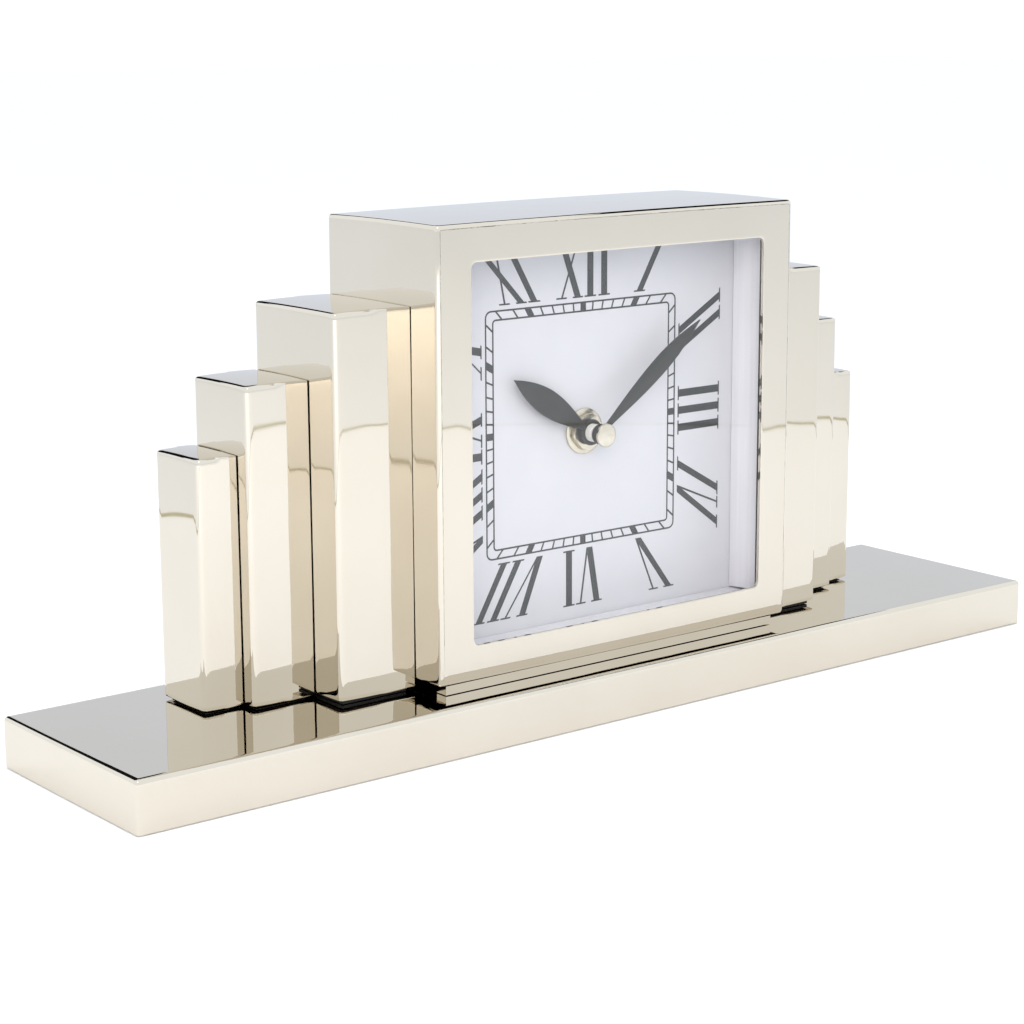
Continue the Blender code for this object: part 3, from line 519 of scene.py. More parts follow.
def track_tick_tree():
    """Bars round a square band: each lies on its ray from the centre and ends on the band's sides."""
    tree, given = new_tree("track_ticks", (
        ("Count", "Int", 60), ("Every", "Int", 5), ("Thin", "Float", None), ("Thick", "Float", None),
        ("Inner", "Float", None), ("Outer", "Float", None), ("Front", "Float", None),
        ("Height", "Float", None), ("Centre", "Vector", None), ("Material", "Material", None),
    ))
    settings = {"Offset": (0.0, 0.0, 0.0)}
    still = add(tree, "GeometryNodeMeshLine", settings, {"Count": given["Count"]}).outputs[0]
    index = add(tree, "GeometryNodeInputIndex").outputs[0]
    numbered = add(
        tree, "GeometryNodeStoreNamedAttribute", {"Name": "tick"}, {"Geometry": still, "Value": index}
    ).outputs[0]
    bar = add(tree, "GeometryNodeMeshCube", {"Size": (1.0, 1.0, 1.0)}).outputs["Mesh"]
    links = {"Points": numbered, "Instance": bar}
    bars = add(tree, "GeometryNodeInstanceOnPoints", {}, links).outputs[0]
    loose = add(tree, "GeometryNodeRealizeInstances", {}, {"Geometry": bars}).outputs[0]
    tick = add(tree, "GeometryNodeInputNamedAttribute", {"Name": "tick"}).outputs[0]
    turn = maths(tree, "MULTIPLY", maths(tree, "DIVIDE", tick, given["Count"]), math.tau)
    sine = maths(tree, "SINE", turn)
    cosine = maths(tree, "COSINE", turn)
    across = maths(tree, "ABSOLUTE", sine)
    along = maths(tree, "ABSOLUTE", cosine)
    greater = maths(tree, "MAXIMUM", across, along)
    side = maths(tree, "GREATER_THAN", across, along)
    place = add(tree, "GeometryNodeInputPosition").outputs[0]
    local = add(tree, "ShaderNodeSeparateXYZ", {}, {0: place})
    outward = maths(tree, "ADD", local.outputs[2], 0.5)
    band = maths(tree, "SUBTRACT", given["Outer"], given["Inner"])
    reach = maths(tree, "ADD", maths(tree, "MULTIPLY", outward, band), given["Inner"])
    radial = maths(tree, "DIVIDE", reach, greater)
    rest = maths(tree, "MODULO", tick, given["Every"])
    is_thick = maths(tree, "LESS_THAN", rest, 0.5)
    extra = maths(tree, "MULTIPLY", maths(tree, "SUBTRACT", given["Thick"], given["Thin"]), is_thick)
    width = maths(tree, "DIVIDE", maths(tree, "ADD", given["Thin"], extra), greater)
    offset = maths(tree, "MULTIPLY", local.outputs[0], width)
    offset_z = maths(tree, "MULTIPLY", offset, side)
    offset_x = maths(tree, "SUBTRACT", offset, offset_z)
    x = maths(tree, "ADD", maths(tree, "MULTIPLY", sine, radial), offset_x)
    z = maths(tree, "ADD", maths(tree, "MULTIPLY", cosine, radial), offset_z)
    lifted = maths(tree, "MULTIPLY", maths(tree, "SUBTRACT", 0.5, local.outputs[1]), given["Height"])
    y = maths(tree, "SUBTRACT", given["Front"], lifted)
    flat = add(tree, "ShaderNodeCombineXYZ", {}, {0: x, 1: y, 2: z}).outputs[0]
    placed = vector_math(tree, "ADD", flat, given["Centre"])
    settings = {"operation": "SCALE", "Scale": MM}
    metres = add(tree, "ShaderNodeVectorMath", settings, {0: placed}).outputs[0]
    links = {"Geometry": loose, "Position": metres}
    shaped = add(tree, "GeometryNodeSetPosition", {}, links).outputs[0]
    end_tree(tree, shaped, given["Material"])
    return tree


def ridge_ring_tree():
    """Small ridges round a drum whose axis runs front to back, such as a knob's grip."""
    tree, given = new_tree("ridge_ring", (
        ("Count", "Int", None), ("Radius", "Float", None), ("Ridge", "Vector", None),
        ("Centre", "Vector", None), ("Material", "Material", None),
    ))
    ring = add(
        tree, "GeometryNodeMeshCircle", {"Radius": 1.0}, {"Vertices": given["Count"]}
    ).outputs["Mesh"]
    index = add(tree, "GeometryNodeInputIndex").outputs[0]
    turn = maths(tree, "MULTIPLY", maths(tree, "DIVIDE", index, given["Count"]), math.tau)
    x = maths(tree, "MULTIPLY", maths(tree, "COSINE", turn), given["Radius"])
    z = maths(tree, "MULTIPLY", maths(tree, "SINE", turn), given["Radius"])
    flat = add(tree, "ShaderNodeCombineXYZ", {}, {0: x, 2: z}).outputs[0]
    placed = vector_math(tree, "ADD", flat, given["Centre"])
    links = {"Geometry": ring, "Position": placed}
    points = add(tree, "GeometryNodeSetPosition", {}, links).outputs[0]
    settings = {"Vertices": 6, "Radius": 1.0, "Depth": 1.0}
    ridge = add(tree, "GeometryNodeMeshCylinder", settings).outputs["Mesh"]
    upright = add(tree, "FunctionNodeEulerToRotation", {"Euler": (math.pi / 2, 0.0, 0.0)})
    links = {
        "Points": points, "Instance": ridge, "Rotation": upright.outputs[0], "Scale": given["Ridge"],
    }
    ridges = add(tree, "GeometryNodeInstanceOnPoints", {}, links).outputs[0]
    end_tree(tree, ridges, given["Material"])
    return tree


# ---- camera, light and ground -------------------------------------------------------------------

CAMERA_PLACE = (-626.4, -760.2, 286.1)
CAMERA_AZIMUTH = -38.246
CAMERA_ELEVATION = 11.991
CAMERA_ROLL = -0.267
LENS_IN_WIDTHS = 2.3443
SENSOR = 36.0


def make_camera():
    data = bpy.data.cameras.new("camera")
    data.sensor_width = SENSOR
    data.lens = SENSOR * LENS_IN_WIDTHS
    data.clip_start = 0.01
    data.clip_end = 50.0
    camera = bpy.data.objects.new("camera", data)
    SCENE.collection.objects.link(camera)
    pitch = math.radians(90 - CAMERA_ELEVATION)
    aim = Euler((pitch, 0.0, math.radians(CAMERA_AZIMUTH))).to_matrix()
    roll = Matrix.Rotation(math.radians(CAMERA_ROLL), 3, "Z")
    camera.matrix_world = (aim @ roll).to_4x4()
    camera.location = [v * MM for v in CAMERA_PLACE]
    SCENE.camera = camera


def emission_material(name, colour):
    material = bpy.data.materials.new(name)
    material.use_nodes = True
    tree = material.node_tree
    tree.nodes.clear()
    glow = add(tree, "ShaderNodeEmission", {"Color": (*colour, 1.0), "Strength": 1.0})
    tree.links.new(glow.outputs[0], add(tree, "ShaderNodeOutputMaterial").inputs[0])
    return material


def sky_point(azimuth, elevation, distance):
    """Azimuth 0 is straight behind the clock and 90 is to its right."""
    a, e = math.radians(azimuth), math.radians(elevation)
    level = distance * math.cos(e)
    return (level * math.sin(a), level * math.cos(a), distance * math.sin(e))


def stage_band(name, edge, distance, colour):
    """A card round the set, given by (azimuth, low, high) angles. Only the polished metal sees it."""
    bm = bmesh.new()
    columns = []
    for azimuth, low, high in edge:
        ends = [sky_point(azimuth, height, distance) for height in (low, high)]
        columns.append([bm.verts.new([c * MM for c in end]) for end in ends])
    for first, second in zip(columns, columns[1:]):
        bm.faces.new((first[0], second[0], second[1], first[1]))
    stage_card(name, bm, colour)


def stage_card(name, bm, colour):
    mesh = bpy.data.meshes.new(name)
    bm.to_mesh(mesh)
    bm.free()
    mesh.materials.append(emission_material(name, colour))
    card = bpy.data.objects.new(name, mesh)
    SCENE.collection.objects.link(card)
    for ray in ("camera", "diffuse", "shadow", "transmission"):
        setattr(card, "visible_" + ray, False)


# The cards' edges, as (azimuth, low, high) in degrees, and their distance from the middle.
BACKDROP = ((-14, -1, 22), (10, -1, 22), (35, -1, 22), (55, -1, 26), (80, -1, 32))
BACKDROP_DISTANCE = 1700
BACKDROP_GREY = (0.778, 0.825, 0.915)
DARK_BAR = (
    (-20, 26, 34), (10, 23, 38), (35, 21, 40), (50, 24, 46), (65, 33, 50), (80, 42, 54), (100, 48, 56),
)
DARK_BAR_DISTANCE = 1600
DARK_BAR_BLACK = (0.01, 0.01, 0.011)
# The floor's own sizes are metres, as its material reads them.
# The floor's painted pool of light, a round where its colour is lighter, and the dim ring card round
# it.
PAINTED_POOL_CENTRE = (0.03, -0.06, 0.0)
PAINTED_POOL_RADIUS = 0.64
POOL_LINE = 0.005
PAINTED_POOL_SOFTNESS = 0.008
FLOOR_REACH = 9.0


def make_ground():
    """A white sheet with a painted pool of light: inside the round where the lamps overlap its colour
    is a little lighter than the rest.
    """
    bm = bmesh.new()
    bmesh.ops.create_grid(bm, x_segments=1, y_segments=1, size=FLOOR_REACH)
    mesh = bpy.data.meshes.new("studio_floor")
    bm.to_mesh(mesh)
    bm.free()
    material, tree, shader = new_material("white_floor_painted_light_pool", "#F4F3F1", 0.8)
    place = object_place(tree)
    settings = {"operation": "DISTANCE", 1: PAINTED_POOL_CENTRE}
    offset = add(tree, "ShaderNodeVectorMath", settings, {0: place}).outputs["Value"]
    settings = {"From Min": PAINTED_POOL_RADIUS - PAINTED_POOL_SOFTNESS, "From Max": PAINTED_POOL_RADIUS + PAINTED_POOL_SOFTNESS}
    share = add(tree, "ShaderNodeMapRange", settings, {"Value": offset}).outputs["Result"]
    # Painted pool of light: the floor's colour is lighter inside the round than outside it.
    vary_colour(tree, shader, "#F9F9FA", "#EEEFF1", share)
    mesh.materials.append(material)
    floor = bpy.data.objects.new("studio_floor", mesh)
    SCENE.collection.objects.link(floor)


def make_pool_edge():
    """The dim line round the painted pool of light, as only the polished metal shows it."""
    bm = bmesh.new()
    sides = 180
    turns = [math.tau * i / sides for i in range(sides)]
    x, y, _ = PAINTED_POOL_CENTRE
    rings = []
    for radius in (PAINTED_POOL_RADIUS - POOL_LINE, PAINTED_POOL_RADIUS + POOL_LINE):
        points = [(x + radius * math.cos(a), y + radius * math.sin(a), MM) for a in turns]
        rings.append([bm.verts.new(point) for point in points])
    for i in range(sides):
        j = (i + 1) % sides
        bm.faces.new((rings[0][i], rings[1][i], rings[1][j], rings[0][j]))
    stage_card("pool_edge", bm, (0.66, 0.64, 0.46))


def make_world():
    world = bpy.data.worlds.new("studio")
    SCENE.world = world
    world.use_nodes = True
    background = world.node_tree.nodes["Background"]
    background.inputs["Color"].default_value = (0.952, 0.995, 1.045, 1.0)
    background.inputs["Strength"].default_value = 1.2


def area_light(name, place, aim, size, power, tint, mirrored=True):
    data = bpy.data.lights.new(name, "AREA")
    data.shape = "RECTANGLE"
    data.size = size[0] * MM
    data.size_y = size[1] * MM
    data.energy = power
    data.color = linear(tint)[:3]
    light = bpy.data.objects.new(name, data)
    SCENE.collection.objects.link(light)
    start = Vector(place) * MM
    direction = Vector(aim) * MM - start
    light.visible_glossy = mirrored
    light.location = start
    light.rotation_euler = direction.to_track_quat("-Z", "Y").to_euler()


# ---- base, columns and case ---------------------------------------------------------------------

BASE_WALL = 1.5
BASE_EDGE = 1.75
BASE_CORNER = 1.1
INNER_CORNER = 0.6
LEAST_CORNER = 0.4


def edge_profile(radius, steps=5):
    """(inset, drop) pairs round a quarter circle, from a wall up to the face above it."""
    pairs = []
    for step in range(steps + 1):
        angle = math.pi / 2 * step / steps
        pairs.append((radius * (1 - math.cos(angle)), radius * (1 - math.sin(angle))))
    return pairs


def make_base():
    """The plinth: one folded and buffed pan, open below, with crowned walls."""
    low, high = node_box("base_shell")
    _, (half_x, half_y, _) = middle_and_half(low, high)
    rings = []

    def ring(inset, z, radius):
        outline = rounded_rectangle(half_x - inset, half_y - inset, max(radius, 0.2))
        rings.append([(x, y, z) for x, y in outline])

    def inner_plate(z, insets):
        for share in insets:
            rings.append([(x * share, y * share, z) for x, y in
                          rounded_rectangle(half_x - BASE_WALL, half_y - BASE_WALL, INNER_CORNER)])

    rings.append([(0.0, 0.0, high[2] - BASE_WALL)])
    inner_plate(high[2] - BASE_WALL, (0.5, 1.0))
    ring(BASE_WALL, low[2], INNER_CORNER)
    ring(0.0, low[2], BASE_CORNER)
    for z in (low[2] + 1.2, (low[2] + high[2]) / 2, high[2] - BASE_EDGE - 1.2):
        ring(0.0, z, BASE_CORNER)
    for inset, drop in edge_profile(BASE_EDGE):
        ring(inset, high[2] - drop, BASE_CORNER - inset * 0.7)
    for inset in (BASE_EDGE + 1.2, BASE_EDGE + 5.0, 14.0, 24.0, 34.0, 43.0):
        ring(inset, high[2], max(BASE_CORNER - inset, LEAST_CORNER))
    rings.append([(0.0, 0.0, high[2])])
    bm = bmesh.new()
    loft(bm, rings)
    base = mesh_object("base_pan", bm, NICKEL, ROOT, 30)
    crown(base, low, high, (0.25, 0.25, 0.0))
    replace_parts(base, "base_shell")


# How far a column reaches down onto its pad and into the seam beside it.
COLUMN_DROP = 0.3
SEAM_CLOSE = 0.22
COLUMN_EDGE = 1.9
COLUMN_TOP_EDGE = 1.0
COLUMN_CROWN = (0.06, 0.14, 0.3)


def make_columns():
    tree = polished_block_tree()
    for side in ("left", "right"):
        for label in ("inner", "middle", "outer"):
            node = f"column_{side}_{label}"
            low, high = node_box(node)
            low[2] -= COLUMN_DROP
            if side == "left":
                high[0] += SEAM_CLOSE
            else:
                low[0] -= SEAM_CLOSE
            centre, half = middle_and_half(low, high)
            values = {
                "Centre": [v * MM for v in centre],
                "Half size": [v * MM for v in half],
                "Edge radius": (COLUMN_EDGE * MM, COLUMN_EDGE * MM, COLUMN_TOP_EDGE * MM),
                "Bottom radius": 0.35 * MM,
                "Sharp side": 1.0 if side == "left" else -1.0,
                "Sharp radius": 0.15 * MM,
                "Crown": [v * MM for v in COLUMN_CROWN],
                "Material": NICKEL,
            }
            column = grow(node + "_shell", tree, values, ROOT, 50)
            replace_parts(column, node)


WINDOW_LOW = 39.4
WINDOW_HIGH = 190.4
WINDOW_HALF_X = 77.0
WINDOW_CORNER = 2.6
CASE_EDGE = 1.8
# The lower front is buffed round over this height; SPAN sets how deep the round goes.
SHOULDER_HEIGHT = 9.5
SHOULDER_SPAN = 62.0


def make_case():
    """The case: sides, top and bottom in one tube, a front with its window, a hemmed back edge."""
    low, high = node_box("case_shell")
    (_, _, middle_z), (half_x, _, half_z) = middle_and_half(low, high)
    window_half = (WINDOW_HIGH - WINDOW_LOW) / 2
    window_z = (WINDOW_HIGH + WINDOW_LOW) / 2
    wall = 2.0
    front_wall = 1.6
    edge = CASE_EDGE
    front = low[1]
    back = high[1]
    rings = []

    def ring(y, share, radius, inset=0.0):
        """share 0 is the case's own outline, 1 is the window's."""
        a = (half_x - inset) * (1 - share) + WINDOW_HALF_X * share
        b = (half_z - inset) * (1 - share) + window_half * share
        shift = middle_z * (1 - share) + window_z * share
        rings.append([(x, y, z + shift) for x, z in rounded_rectangle(a, b, radius)])

    corner = 1.3
    inner = 0.5
    ring(front + front_wall, 1.0, WINDOW_CORNER)
    ring(front + front_wall, 0.5, 2.0)
    ring(front + front_wall, 0.0, inner, wall)
    ring(front + front_wall + 4.0, 0.0, inner, wall)
    ring(back - 0.2, 0.0, inner, wall)
    ring(back, 0.0, inner, wall - 0.2)
    ring(back, 0.0, corner, 0.25)
    ring(back - 0.25, 0.0, corner)
    ring(back - 1.5, 0.0, corner)
    for share in (0.75, 0.5, 0.25):
        ring(front + edge + (back - front - edge) * share, 0.0, corner)
    ring(front + edge + 1.5, 0.0, corner)
    for inset, drop in edge_profile(edge):
        # Here the wall runs front to back and the face above it is the front.
        ring(front + drop, 0.0, max(corner - 0.5 * inset, LEAST_CORNER), inset)
    for share in (0.1, 0.2, 0.3, 0.4, 0.5, 0.6, 0.8, 0.95):
        ring(front, share, 0.6 + 2.0 * share)
    ring(front, 0.985, WINDOW_CORNER)
    ring(front + 0.12, 1.0, WINDOW_CORNER)
    bm = bmesh.new()
    loft(bm, rings, closed=True)
    for vertex in bm.verts:
        height = vertex.co.z / MM - low[2]
        ahead = front + edge + 0.1 - vertex.co.y / MM
        if ahead > 0 and height < SHOULDER_HEIGHT:
            # Buffing has rounded the lower front over, more than the other edges.
            back_off = (SHOULDER_HEIGHT - height) ** 2 / SHOULDER_SPAN
            vertex.co.y += back_off * MM * ahead / edge
    case = mesh_object("case_tube", bm, NICKEL, ROOT, 35)
    crown(case, low, high, (0.35, 0.35, 0.8))
    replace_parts(case, "case_shell")


# ---- dial ---------------------------------------------------------------------------------------

DIAL_FRONT = node_box("dial_plate")[0][1]
# The printed track's centre is above the hands' axis.
DIAL_CENTRE_Z = AXIS_Z + 2.7
PRINT = 0.05
TRACK_OUTER = 50.7
TRACK_INNER = 46.4
RAIL = 0.7
NUMERAL_FOOT = 52.4
NUMERAL_TOP = 76.2
THICK_STROKE = 3.2
THIN_STROKE = 0.9
SERIF = 0.65
SERIF_HALF = 3.05
V_HALF = 7.2
BAR_SPACING = 7.4
JOIN_SPACING = 10.8
ELEVEN_SHIFT = -2.6


def make_rail(name, outer, radius):
    bm = bmesh.new()
    outline = rounded_rectangle(outer, outer, radius)
    inline = rounded_rectangle(outer - RAIL, outer - RAIL, max(radius - RAIL, 0.3))
    top = DIAL_FRONT - PRINT

    def ring(points, y):
        return [(x, y, z + DIAL_CENTRE_Z) for x, z in points]

    rings = [ring(outline, DIAL_FRONT), ring(outline, top), ring(inline, top), ring(inline, DIAL_FRONT)]
    loft(bm, rings, closed=True)
    return mesh_object(name, bm, INK, ROOT, 0)


def make_track():
    make_rail("track_outer_rail", TRACK_OUTER, 3.0)
    make_rail("track_inner_rail", TRACK_INNER + RAIL, 1.8)
    values = {
        "Count": 60, "Every": 5, "Thin": 0.75, "Thick": 2.9, "Inner": TRACK_INNER + 0.2,
        "Outer": TRACK_OUTER - 0.2, "Front": DIAL_FRONT, "Height": PRINT * 0.8,
        "Centre": (0.0, 0.0, DIAL_CENTRE_Z), "Material": INK,
    }
    grow("track_ticks", track_tick_tree(), values, ROOT, 0)


def glyph_strokes(numeral):
    """(u, v) quads of a numeral drawn round u = 0, its foot at v = 0 and its top at v = 1."""
    advances = []
    for letter, following in zip(numeral, numeral[1:]):
        advances.append(BAR_SPACING if letter == following == "I" else JOIN_SPACING)
    halves = {"I": SERIF_HALF, "V": V_HALF, "X": V_HALF}
    width = halves[numeral[0]] + sum(advances) + halves[numeral[-1]]
    u = -width / 2 + halves[numeral[0]]
    height = NUMERAL_TOP - NUMERAL_FOOT
    line = SERIF / height
    strokes = []

    def stroke(foot, top, thick):
        half = thick / 2
        strokes.append(((foot - half, 0.0), (foot + half, 0.0), (top + half, 1.0), (top - half, 1.0)))

    def serif(middle, at_top, half=SERIF_HALF):
        v = 1.0 - line if at_top else 0.0
        strokes.append((
            (middle - half, v), (middle + half, v), (middle + half, v + line), (middle - half, v + line)
        ))

    for index, letter in enumerate(numeral):
        if letter == "I":
            stroke(u, u, THICK_STROKE)
            serif(u, False)
            serif(u, True)
        elif numeral == "IV":
            # On this dial the four's second letter is drawn the other way round.
            stroke(u + 0.2, u + 4.3, THICK_STROKE)
            stroke(u - 0.9, u - 4.6, THIN_STROKE)
            serif(u + 4.2, True, 2.9)
            serif(u - 4.4, True, 2.6)
        elif letter == "V":
            stroke(u - 0.2, u - 4.3, THICK_STROKE)
            stroke(u + 0.9, u + 4.6, THIN_STROKE)
            serif(u - 4.2, True, 2.9)
            serif(u + 4.4, True, 2.6)
        else:
            stroke(u + 4.3, u - 4.3, THICK_STROKE)
            stroke(u - 4.4, u + 4.4, THIN_STROKE)
            for middle, at_top in ((-4.2, True), (4.4, True), (4.2, False), (-4.4, False)):
                serif(u + middle, at_top, 2.7)
        if index < len(advances):
            u += advances[index]
    return strokes


def make_numerals():
    """Roman numerals whose feet face the centre, each sheared along its own hour's ray."""
    numerals = ("XII", "I", "II", "III", "IV", "V", "VI", "VII", "VIII", "IX", "X", "XI")
    for hour, numeral in enumerate(numerals):
        turn = math.tau * hour / 12
        ray = (math.sin(turn), math.cos(turn))
        if abs(ray[0]) > abs(ray[1]):
            outward = (math.copysign(1.0, ray[0]), 0.0)
        else:
            outward = (0.0, math.copysign(1.0, ray[1]))
        reading = (outward[1], -outward[0])
        sideways = ray[0] * reading[0] + ray[1] * reading[1]
        lean = sideways / (ray[0] * outward[0] + ray[1] * outward[1])
        bm = bmesh.new()
        for index, quad in enumerate(glyph_strokes(numeral)):
            corners = []
            for u, v in quad:
                if numeral == "XI":
                    u += ELEVEN_SHIFT
                out = NUMERAL_FOOT + v * (NUMERAL_TOP - NUMERAL_FOOT)
                along = out * lean + u
                corners.append((
                    outward[0] * out + reading[0] * along,
                    DIAL_CENTRE_Z + outward[1] * out + reading[1] * along,
                ))
            # Crossing strokes end at slightly different heights, so that no two faces coincide.
            prism(bm, corners, DIAL_FRONT - PRINT - 0.002 * index, DIAL_FRONT)
        mesh_object(f"numeral_{hour or 12}", bm, INK, ROOT, 0)


LINER_FOOT = 1.6


def make_liners():
    """Four strips of board between the glass and the dial, with softly cut edges."""
    for name in ("liner_top", "liner_bottom", "liner_left", "liner_right"):
        low, high = node_box(name)
        bm = bmesh.new()
        bmesh.ops.create_cube(bm, size=1.0)
        for vertex in bm.verts:
            vertex.co = [(l + (h - l) * (c + 0.5)) * MM for l, h, c in zip(low, high, vertex.co)]
        if name in ("liner_left", "liner_right"):
            # An upright strip's front lower end is cut at a slant.
            for vertex in bm.verts:
                if vertex.co.z / MM < low[2] + 1 and vertex.co.y / MM < low[1] + 1:
                    vertex.co.z += LINER_FOOT * MM
        bmesh.ops.bevel(
            bm, geom=bm.edges[:], offset=0.25 * MM, segments=2, profile=0.5, affect="EDGES"
        )
        strip = mesh_object(name + "_strip", bm, LINER_CARD, ROOT, 40)
        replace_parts(strip, name)


def make_gasket():
    low, high = node_box("glass_gasket")
    (_, _, middle), (half_x, _, half_z) = middle_and_half(low, high)
    # The hole is a little wider at the back, with a soft ridge half way through.
    open_half_z = 77.6
    open_z = 113.8
    y0, y1 = low[1], high[1]
    rings = []
    for a, b, centre, radius, y in (
        (half_x, half_z, middle, 1.5, y0), (half_x, half_z, middle, 1.5, y1),
        (81.5, open_half_z, open_z, 3.0, y1), (81.3, open_half_z - 0.2, open_z, 2.8, (y0 + y1) / 2),
        (81.2, open_half_z, open_z, 3.0, y0),
    ):
        rings.append([(x, y, z + centre) for x, z in rounded_rectangle(a, b, radius)])
    bm = bmesh.new()
    loft(bm, rings, closed=True)
    gasket = mesh_object("glass_seal", bm, RUBBER, ROOT, 40)
    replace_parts(gasket, "glass_gasket")


# ---- hands and their fastening ------------------------------------------------------------------

MINUTE_ANGLE = 52.2
HOUR_ANGLE = 302.4


def hand_half_width(z, start, widest_at, length, root, widest, power):
    if z < widest_at:
        share = (z - start) / (widest_at - start)
        return root + (widest - root) * math.sin(share * math.pi / 2) ** 1.15
    share = (z - widest_at) / (length - widest_at)
    return widest * (1 - share ** power)


def make_hand(name, node, body, angle, sizes, blade, hub):
    """A pressed leaf with a rolled edge and a slightly domed face, on a turned hub ring."""
    length, start, widest_at, root, widest, power = sizes
    front, back = blade
    steps = 40
    rings = []
    turn = math.radians(angle)

    def put(u, y, z):
        x = z * math.sin(turn) + u * math.cos(turn)
        return (AXIS_X + x, y, AXIS_Z + z * math.cos(turn) - u * math.sin(turn))

    for step in range(steps + 1):
        z = start + (length - start) * step / steps
        half = max(hand_half_width(z, start, widest_at, length, root, widest, power), 0.12)
        soft = min(0.12, half * 0.5)
        section = (
            (-half, back), (-half, front + soft * 0.8), (-half + soft, front + 0.04),
            (0.0, front), (half - soft, front + 0.04), (half, front + soft * 0.8), (half, back),
        )
        rings.append([put(u, y, z) for u, y in section])
    bm = bmesh.new()
    loft(bm, rings)
    bm.verts.ensure_lookup_table()
    bm.faces.new(bm.verts[:len(section)])
    bm.faces.new(bm.verts[-len(section):])
    hand = mesh_object(name, bm, HAND_BLACK, body, 28)
    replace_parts(hand, node)
    turned(name + "_hub", hub, HAND_BLACK, body)


def make_hands():
    hour_low, hour_high = node_box("hour_hand")
    minute_low, minute_high = node_box("minute_hand")
    hour_back = hour_high[1]
    hour_face = hour_back - 0.62
    hour_hub = (
        (2.8, hour_back), (5.2, hour_back), (5.4, hour_back - 0.15), (5.4, hour_face),
        (5.2, hour_face - 0.08), (3.9, hour_face - 0.08), (2.8, hour_face - 0.08),
    )
    make_hand(
        "hour_leaf", "hour_hand", "hour_hand_body", HOUR_ANGLE,
        (47.7, 4.4, 27.0, 1.3, 5.4, 1.9), (hour_face, hour_back - 0.05), hour_hub,
    )
    collet = (
        (2.8, hour_face - 0.09), (3.7, hour_face - 0.09), (3.7, hour_low[1] + 0.25),
        (3.45, hour_low[1]), (2.8, hour_low[1]),
    )
    turned("hour_collet", collet, WHITE_ACETAL, "hour_hand_body")
    minute_back = minute_high[1]
    minute_front = minute_low[1]
    minute_hub = (
        (1.8, minute_back), (4.0, minute_back), (4.2, minute_back - 0.12), (4.2, minute_front + 0.12),
        (4.0, minute_front), (1.8, minute_front),
    )
    make_hand(
        "minute_leaf", "minute_hand", "minute_hand_body", MINUTE_ANGLE,
        (69.1, 3.4, 42.0, 1.0, 3.9, 1.9), (minute_front + 0.06, minute_back - 0.04), minute_hub,
    )
    cap_low, cap_high = node_box("cap_nut")
    front, back = cap_low[1], cap_high[1]
    cap = (
        (0, front), (2.5, front + 0.02), (4.2, front + 0.08), (4.65, front + 0.2), (4.87, front + 0.45),
        (4.9, front + 0.8), (4.9, front + 1.35), (4.75, front + 1.6), (4.4, front + 1.7),
        (2.6, front + 1.75), (2.5, front + 1.85), (2.5, back), (1.8, back), (1.8, front + 1.0),
        (0, front + 1.0),
    )
    cap_piece = turned("cap_turned", cap, CAP_NICKEL, "minute_hand_body")
    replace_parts(cap_piece, "cap_nut")


NUT_FLATS = 14.0
NUT_TURN = 0.2
NUT_CHAMFER = 7.35
NUT_SIDES = 72


def make_dial_hardware():
    low, high = node_box("dial_washer")
    front, back = low[1], high[1]
    washer = (
        (4.3, back), (9.3, back), (9.5, back - 0.15), (9.5, front + 0.15), (9.3, front), (4.5, front),
        (4.3, front + 0.15),
    )
    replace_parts(turned("washer_stamped", washer, HARDWARE, ROOT), "dial_washer")
    low, high = node_box("hex_nut")
    front, back = low[1], high[1]
    bm = bmesh.new()
    corner = NUT_FLATS / 2 / math.cos(math.pi / 6)
    rings = []

    def ring(y, radius_at):
        angles = [math.tau * i / NUT_SIDES for i in range(NUT_SIDES)]
        points = [(radius_at(a) * math.cos(a), radius_at(a) * math.sin(a)) for a in angles]
        rings.append([(AXIS_X + x, y, AXIS_Z + z) for x, z in points])

    def hexagon(angle):
        sector = (angle - NUT_TURN + math.pi / 6) % (math.pi / 3) - math.pi / 6
        return corner * math.cos(math.pi / 6) / math.cos(abs(sector) - math.pi / 6)

    # The chamfer cuts the corners off both ends, down to a circle.
    ring(back, lambda a: min(hexagon(a), NUT_CHAMFER))
    ring(back - 0.45, hexagon)
    ring(front + 0.45, hexagon)
    ring(front, lambda a: min(hexagon(a), NUT_CHAMFER))
    ring(front, lambda a: 4.75)
    ring(front + 0.4, lambda a: 4.3)
    ring(back, lambda a: 4.3)
    loft(bm, rings, closed=True)
    nut = mesh_object("nut_chamfered", bm, HARDWARE, ROOT, 25)
    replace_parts(nut, "hex_nut")


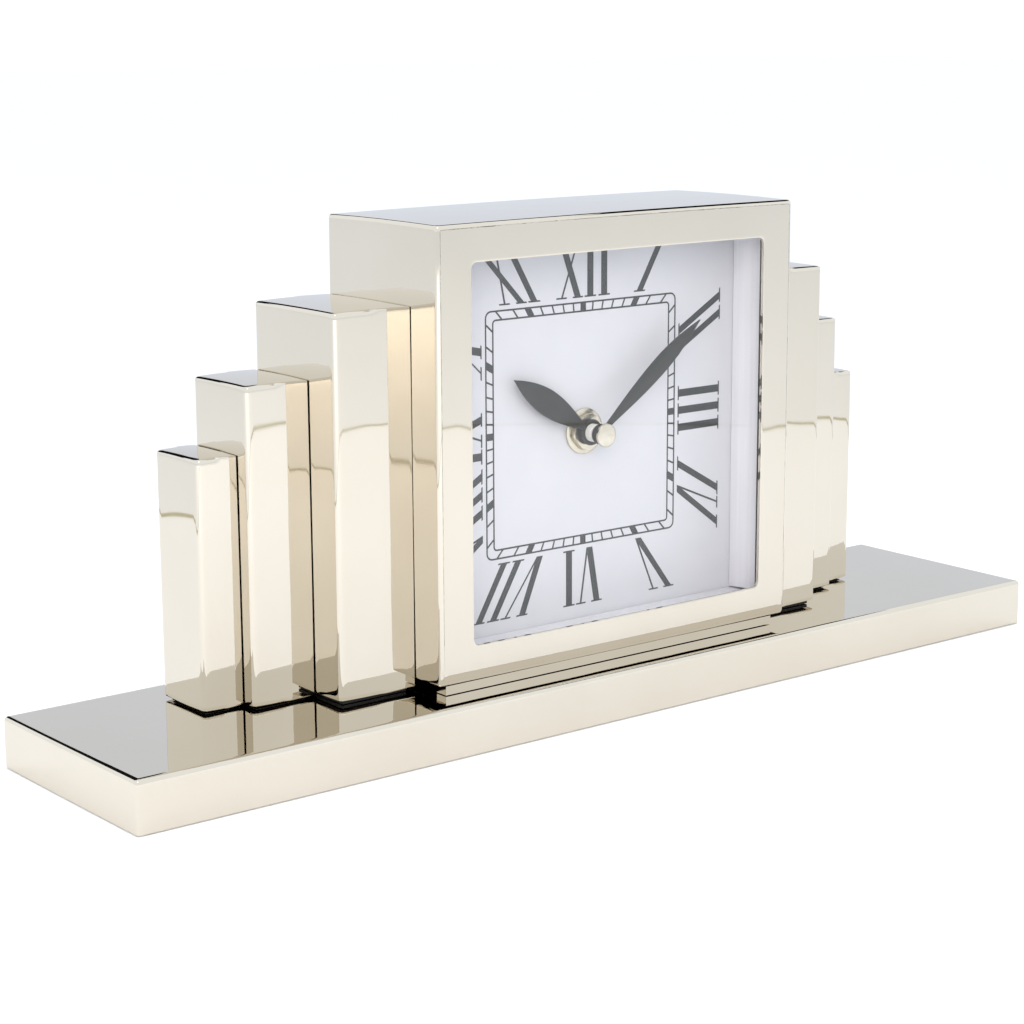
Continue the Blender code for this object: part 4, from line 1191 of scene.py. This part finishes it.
def make_knob_grip():
    low, high = node_box("setting_knob")
    values = {
        "Count": 36, "Radius": 4.76 * MM, "Ridge": (0.22 * MM, 0.22 * MM, 3.6 * MM),
        "Centre": (KNOB_X * MM, (high[1] - 2.2) * MM, KNOB_Z * MM), "Material": BLACK_ABS,
    }
    grow("knob_grip", ridge_ring_tree(), values, "setting_body", 30)


# ---- pieces that keep their shape ---------------------------------------------------------------

def give(material, *nodes):
    for node in nodes:
        mesh = frame["nodes"][node].data
        mesh.materials.clear()
        mesh.materials.append(material)


def finish_plain_nodes():
    give(STEEL, "base_plate", "stator", "rotor", "minute_arbor")
    give(FELT, "base_felt")
    give(RUBBER, "movement_gasket")
    give(NICKEL, "case_riser")
    give(COVER_LACQUER, "back_cover")
    give(GLASS, "glass_pane")
    give(DIAL_CARD, "dial_plate")
    give(BLACK_ABS, "movement_housing", "setting_knob")
    give(WHITE_ACETAL, "movement_cover", "hour_wheel", "minute_wheel", "fourth_wheel", "fifth_wheel")
    give(BRASS, "third_wheel", "centre_wheel", "contact_plus", "contact_minus")
    give(CELL_FILM, "battery")
    give(LAMINATE, "circuit_board")
    give(COPPER, "coil")
    for node in frame["nodes"]:
        if node.startswith("pad_"):
            give(RUBBER, node)
        elif "screw" in node:
            give(STEEL, node)


# ---- the set ------------------------------------------------------------------------------------

make_camera()
make_world()
make_ground()
area_light("key_softbox", (-200, -650, 1500), (0, 0, 0), (500, 500), 2.5, "#FFFFFF")
area_light("front_fill", (-900, -1300, 700), (0, 0, 110), (1100, 1100), 17.0, "#FFF7EE", False)
make_pool_edge()
stage_band("grey_backdrop", BACKDROP, BACKDROP_DISTANCE, BACKDROP_GREY)
stage_band("black_bar", DARK_BAR, DARK_BAR_DISTANCE, DARK_BAR_BLACK)
make_base()
make_columns()
make_case()
make_track()
make_numerals()
make_liners()
make_gasket()
make_dial_hardware()
make_hands()
make_knob_grip()
finish_plain_nodes()

SCENE.view_settings.view_transform = "Standard"
SCENE.view_settings.look = "None"
